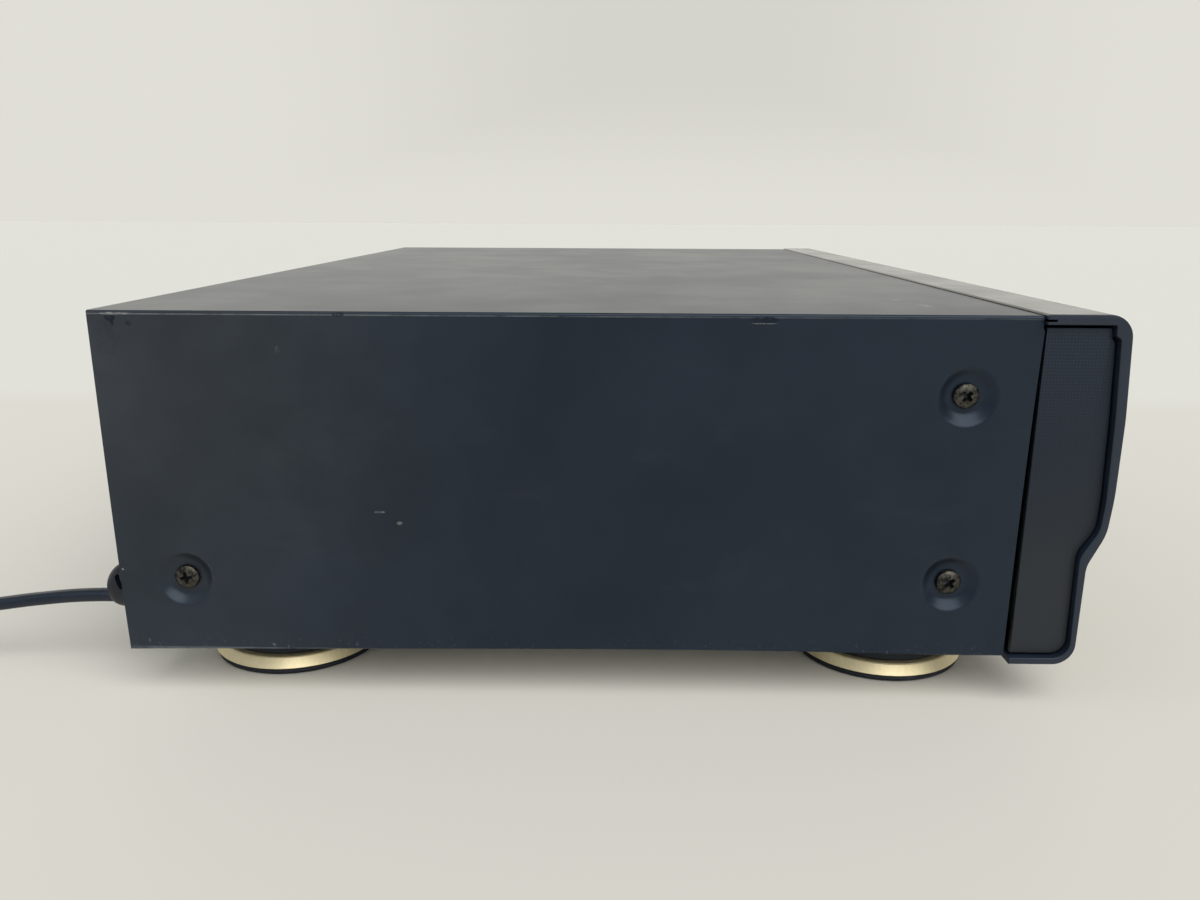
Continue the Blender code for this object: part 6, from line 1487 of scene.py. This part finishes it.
def build_bush():
    """Strain relief: a neck in the panel, then a dome whose middle rises as it leaves it, with a slot."""
    low, high, middle = box_of("cord_bush")
    face = COVER_HIGH[1] - 0.0006
    radius, reach, end = 0.0073, 0.0055, high[1] - 0.0027
    start = end - reach
    swell = np.linspace(0, math.pi / 2, 16)
    dome = np.stack([radius * np.cos(swell), start + reach * np.sin(swell)], axis=1)
    profile = [(0, low[1]), (0.0078, low[1]), (0.0078, face - 0.0013), (0.0056, face - 0.0013)]
    profile += [(0.0056, face + FIT), (0.0076, face + FIT), (0.0078, face + 0.0010), (0.0075, face + 0.0018)]
    profile += [*((radius, face + d) for d in (0.0025, 0.004, 0.006, 0.008)), *dome.tolist()]
    sections = spun(profile, (middle[0], 0, middle[2]), 1, 72)
    share = np.clip((sections[..., 1] - face - FIT) / (start - face), 0, 1)
    sections[..., 2] += 0.0019 * share * (2 - share)
    bush = new_object("cord_bush_dome", *skin(sections, caps=False), finish("black_plastic"))
    lean = math.radians(30)
    turn = np.array([[math.cos(lean), -math.sin(lean)], [math.sin(lean), math.cos(lean)]])
    slot = rounded_rectangle(0.0014, 0.0050, 0.0007) @ turn + (start - 0.0009, middle[2] + 0.0050)
    carve(bush, prism("bush_slot", slot, 0, middle[0] - 0.012, middle[0] - 0.0030))
    give(bush, "player", "black_plastic", "cord_bush")


class PieceOperator(Operator):
    """Base of the operators that make the pieces"""

    bl_options = {"REGISTER", "UNDO"}


class PLAYER_OT_stage(PieceOperator):
    """Camera, floor, surroundings and light"""

    bl_idname = "player.stage"
    bl_label = "Stage"

    def execute(self, context):
        build_stage(context.scene.player_stage)
        return {"FINISHED"}


class PLAYER_OT_finishes(PieceOperator):
    """Every finish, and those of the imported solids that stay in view"""

    bl_idname = "player.finishes"
    bl_label = "Finishes"

    def execute(self, context):
        mix_finishes(context.scene.player_finish)
        dress_nodes()
        return {"FINISHED"}


class PLAYER_OT_cord(PieceOperator):
    """Mains lead with its put-away coil and its plug"""

    bl_idname = "player.cord"
    bl_label = "Mains lead"

    def execute(self, context):
        build_cord(context.scene.player_cord)
        return {"FINISHED"}


class PLAYER_OT_cover(PieceOperator):
    """Bent steel cover with its embossed dimples and screws"""

    bl_idname = "player.cover"
    bl_label = "Cover and screws"

    def execute(self, context):
        build_cover(context.scene.player_case)
        build_screws(context.scene.player_case)
        return {"FINISHED"}


class PLAYER_OT_fascia(PieceOperator):
    """Fascia shell and its two end caps"""

    bl_idname = "player.fascia"
    bl_label = "Fascia"

    def execute(self, context):
        build_fascia()
        build_end_caps()
        return {"FINISHED"}


class PLAYER_OT_controls(PieceOperator):
    """Buttons, level knob, headphone ring and drawer flap"""

    bl_idname = "player.controls"
    bl_label = "Controls"

    def execute(self, context):
        build_buttons()
        build_knob()
        build_jack_ring()
        build_tray_front()
        return {"FINISHED"}


class PLAYER_OT_display(PieceOperator):
    """Display window, tube and unlit segments"""

    bl_idname = "player.display"
    bl_label = "Display"

    def execute(self, context):
        build_display()
        return {"FINISHED"}


class PLAYER_OT_feet(PieceOperator):
    """Feet with their rings and screws"""

    bl_idname = "player.feet"
    bl_label = "Feet"

    def execute(self, context):
        build_feet()
        return {"FINISHED"}


class PLAYER_OT_rear(PieceOperator):
    """Strain relief, line sockets, optical output and screws of the rear panel"""

    bl_idname = "player.rear"
    bl_label = "Rear"

    def execute(self, context):
        build_bush()
        build_line_sockets()
        build_optical_output()
        build_rear_screws()
        return {"FINISHED"}


STEPS = (
    PLAYER_OT_stage,
    PLAYER_OT_finishes,
    PLAYER_OT_cord,
    PLAYER_OT_cover,
    PLAYER_OT_fascia,
    PLAYER_OT_controls,
    PLAYER_OT_display,
    PLAYER_OT_feet,
    PLAYER_OT_rear,
)


class PLAYER_PT_panel(Panel):
    """Buttons that make the player piece by piece"""

    bl_label = "Disc Player"
    bl_idname = "PLAYER_PT_panel"
    bl_space_type = "VIEW_3D"
    bl_region_type = "UI"
    bl_category = "Disc Player"

    def draw(self, context):
        for step in STEPS:
            self.layout.operator(step.bl_idname)


GROUPS = {
    "player_case": PlayerCase,
    "player_cord": PlayerCord,
    "player_finish": PlayerFinish,
    "player_stage": PlayerStage,
}


def register():
    """Registers the groups of sizes and colours, the operators and the panel."""
    for group in GROUPS.values():
        bpy.utils.register_class(group)
    for name, group in GROUPS.items():
        setattr(bpy.types.Scene, name, PointerProperty(type=group))
    for step in (*STEPS, PLAYER_PT_panel):
        bpy.utils.register_class(step)


def unregister():
    """Takes them all out again, in the other order."""
    for step in reversed((*STEPS, PLAYER_PT_panel)):
        bpy.utils.unregister_class(step)
    for name, group in reversed(GROUPS.items()):
        delattr(bpy.types.Scene, name)
        bpy.utils.unregister_class(group)


def main():
    """Makes every piece in order."""
    register()
    for step in STEPS:
        group, name = step.bl_idname.split(".")
        getattr(getattr(bpy.ops, group), name)()
    boxes = {"cad": CAD_BOX, "visual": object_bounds()}
    plain = {key: [[float(v) for v in corner] for corner in box] for key, box in boxes.items()}


if __name__ == "__main__":
    main()
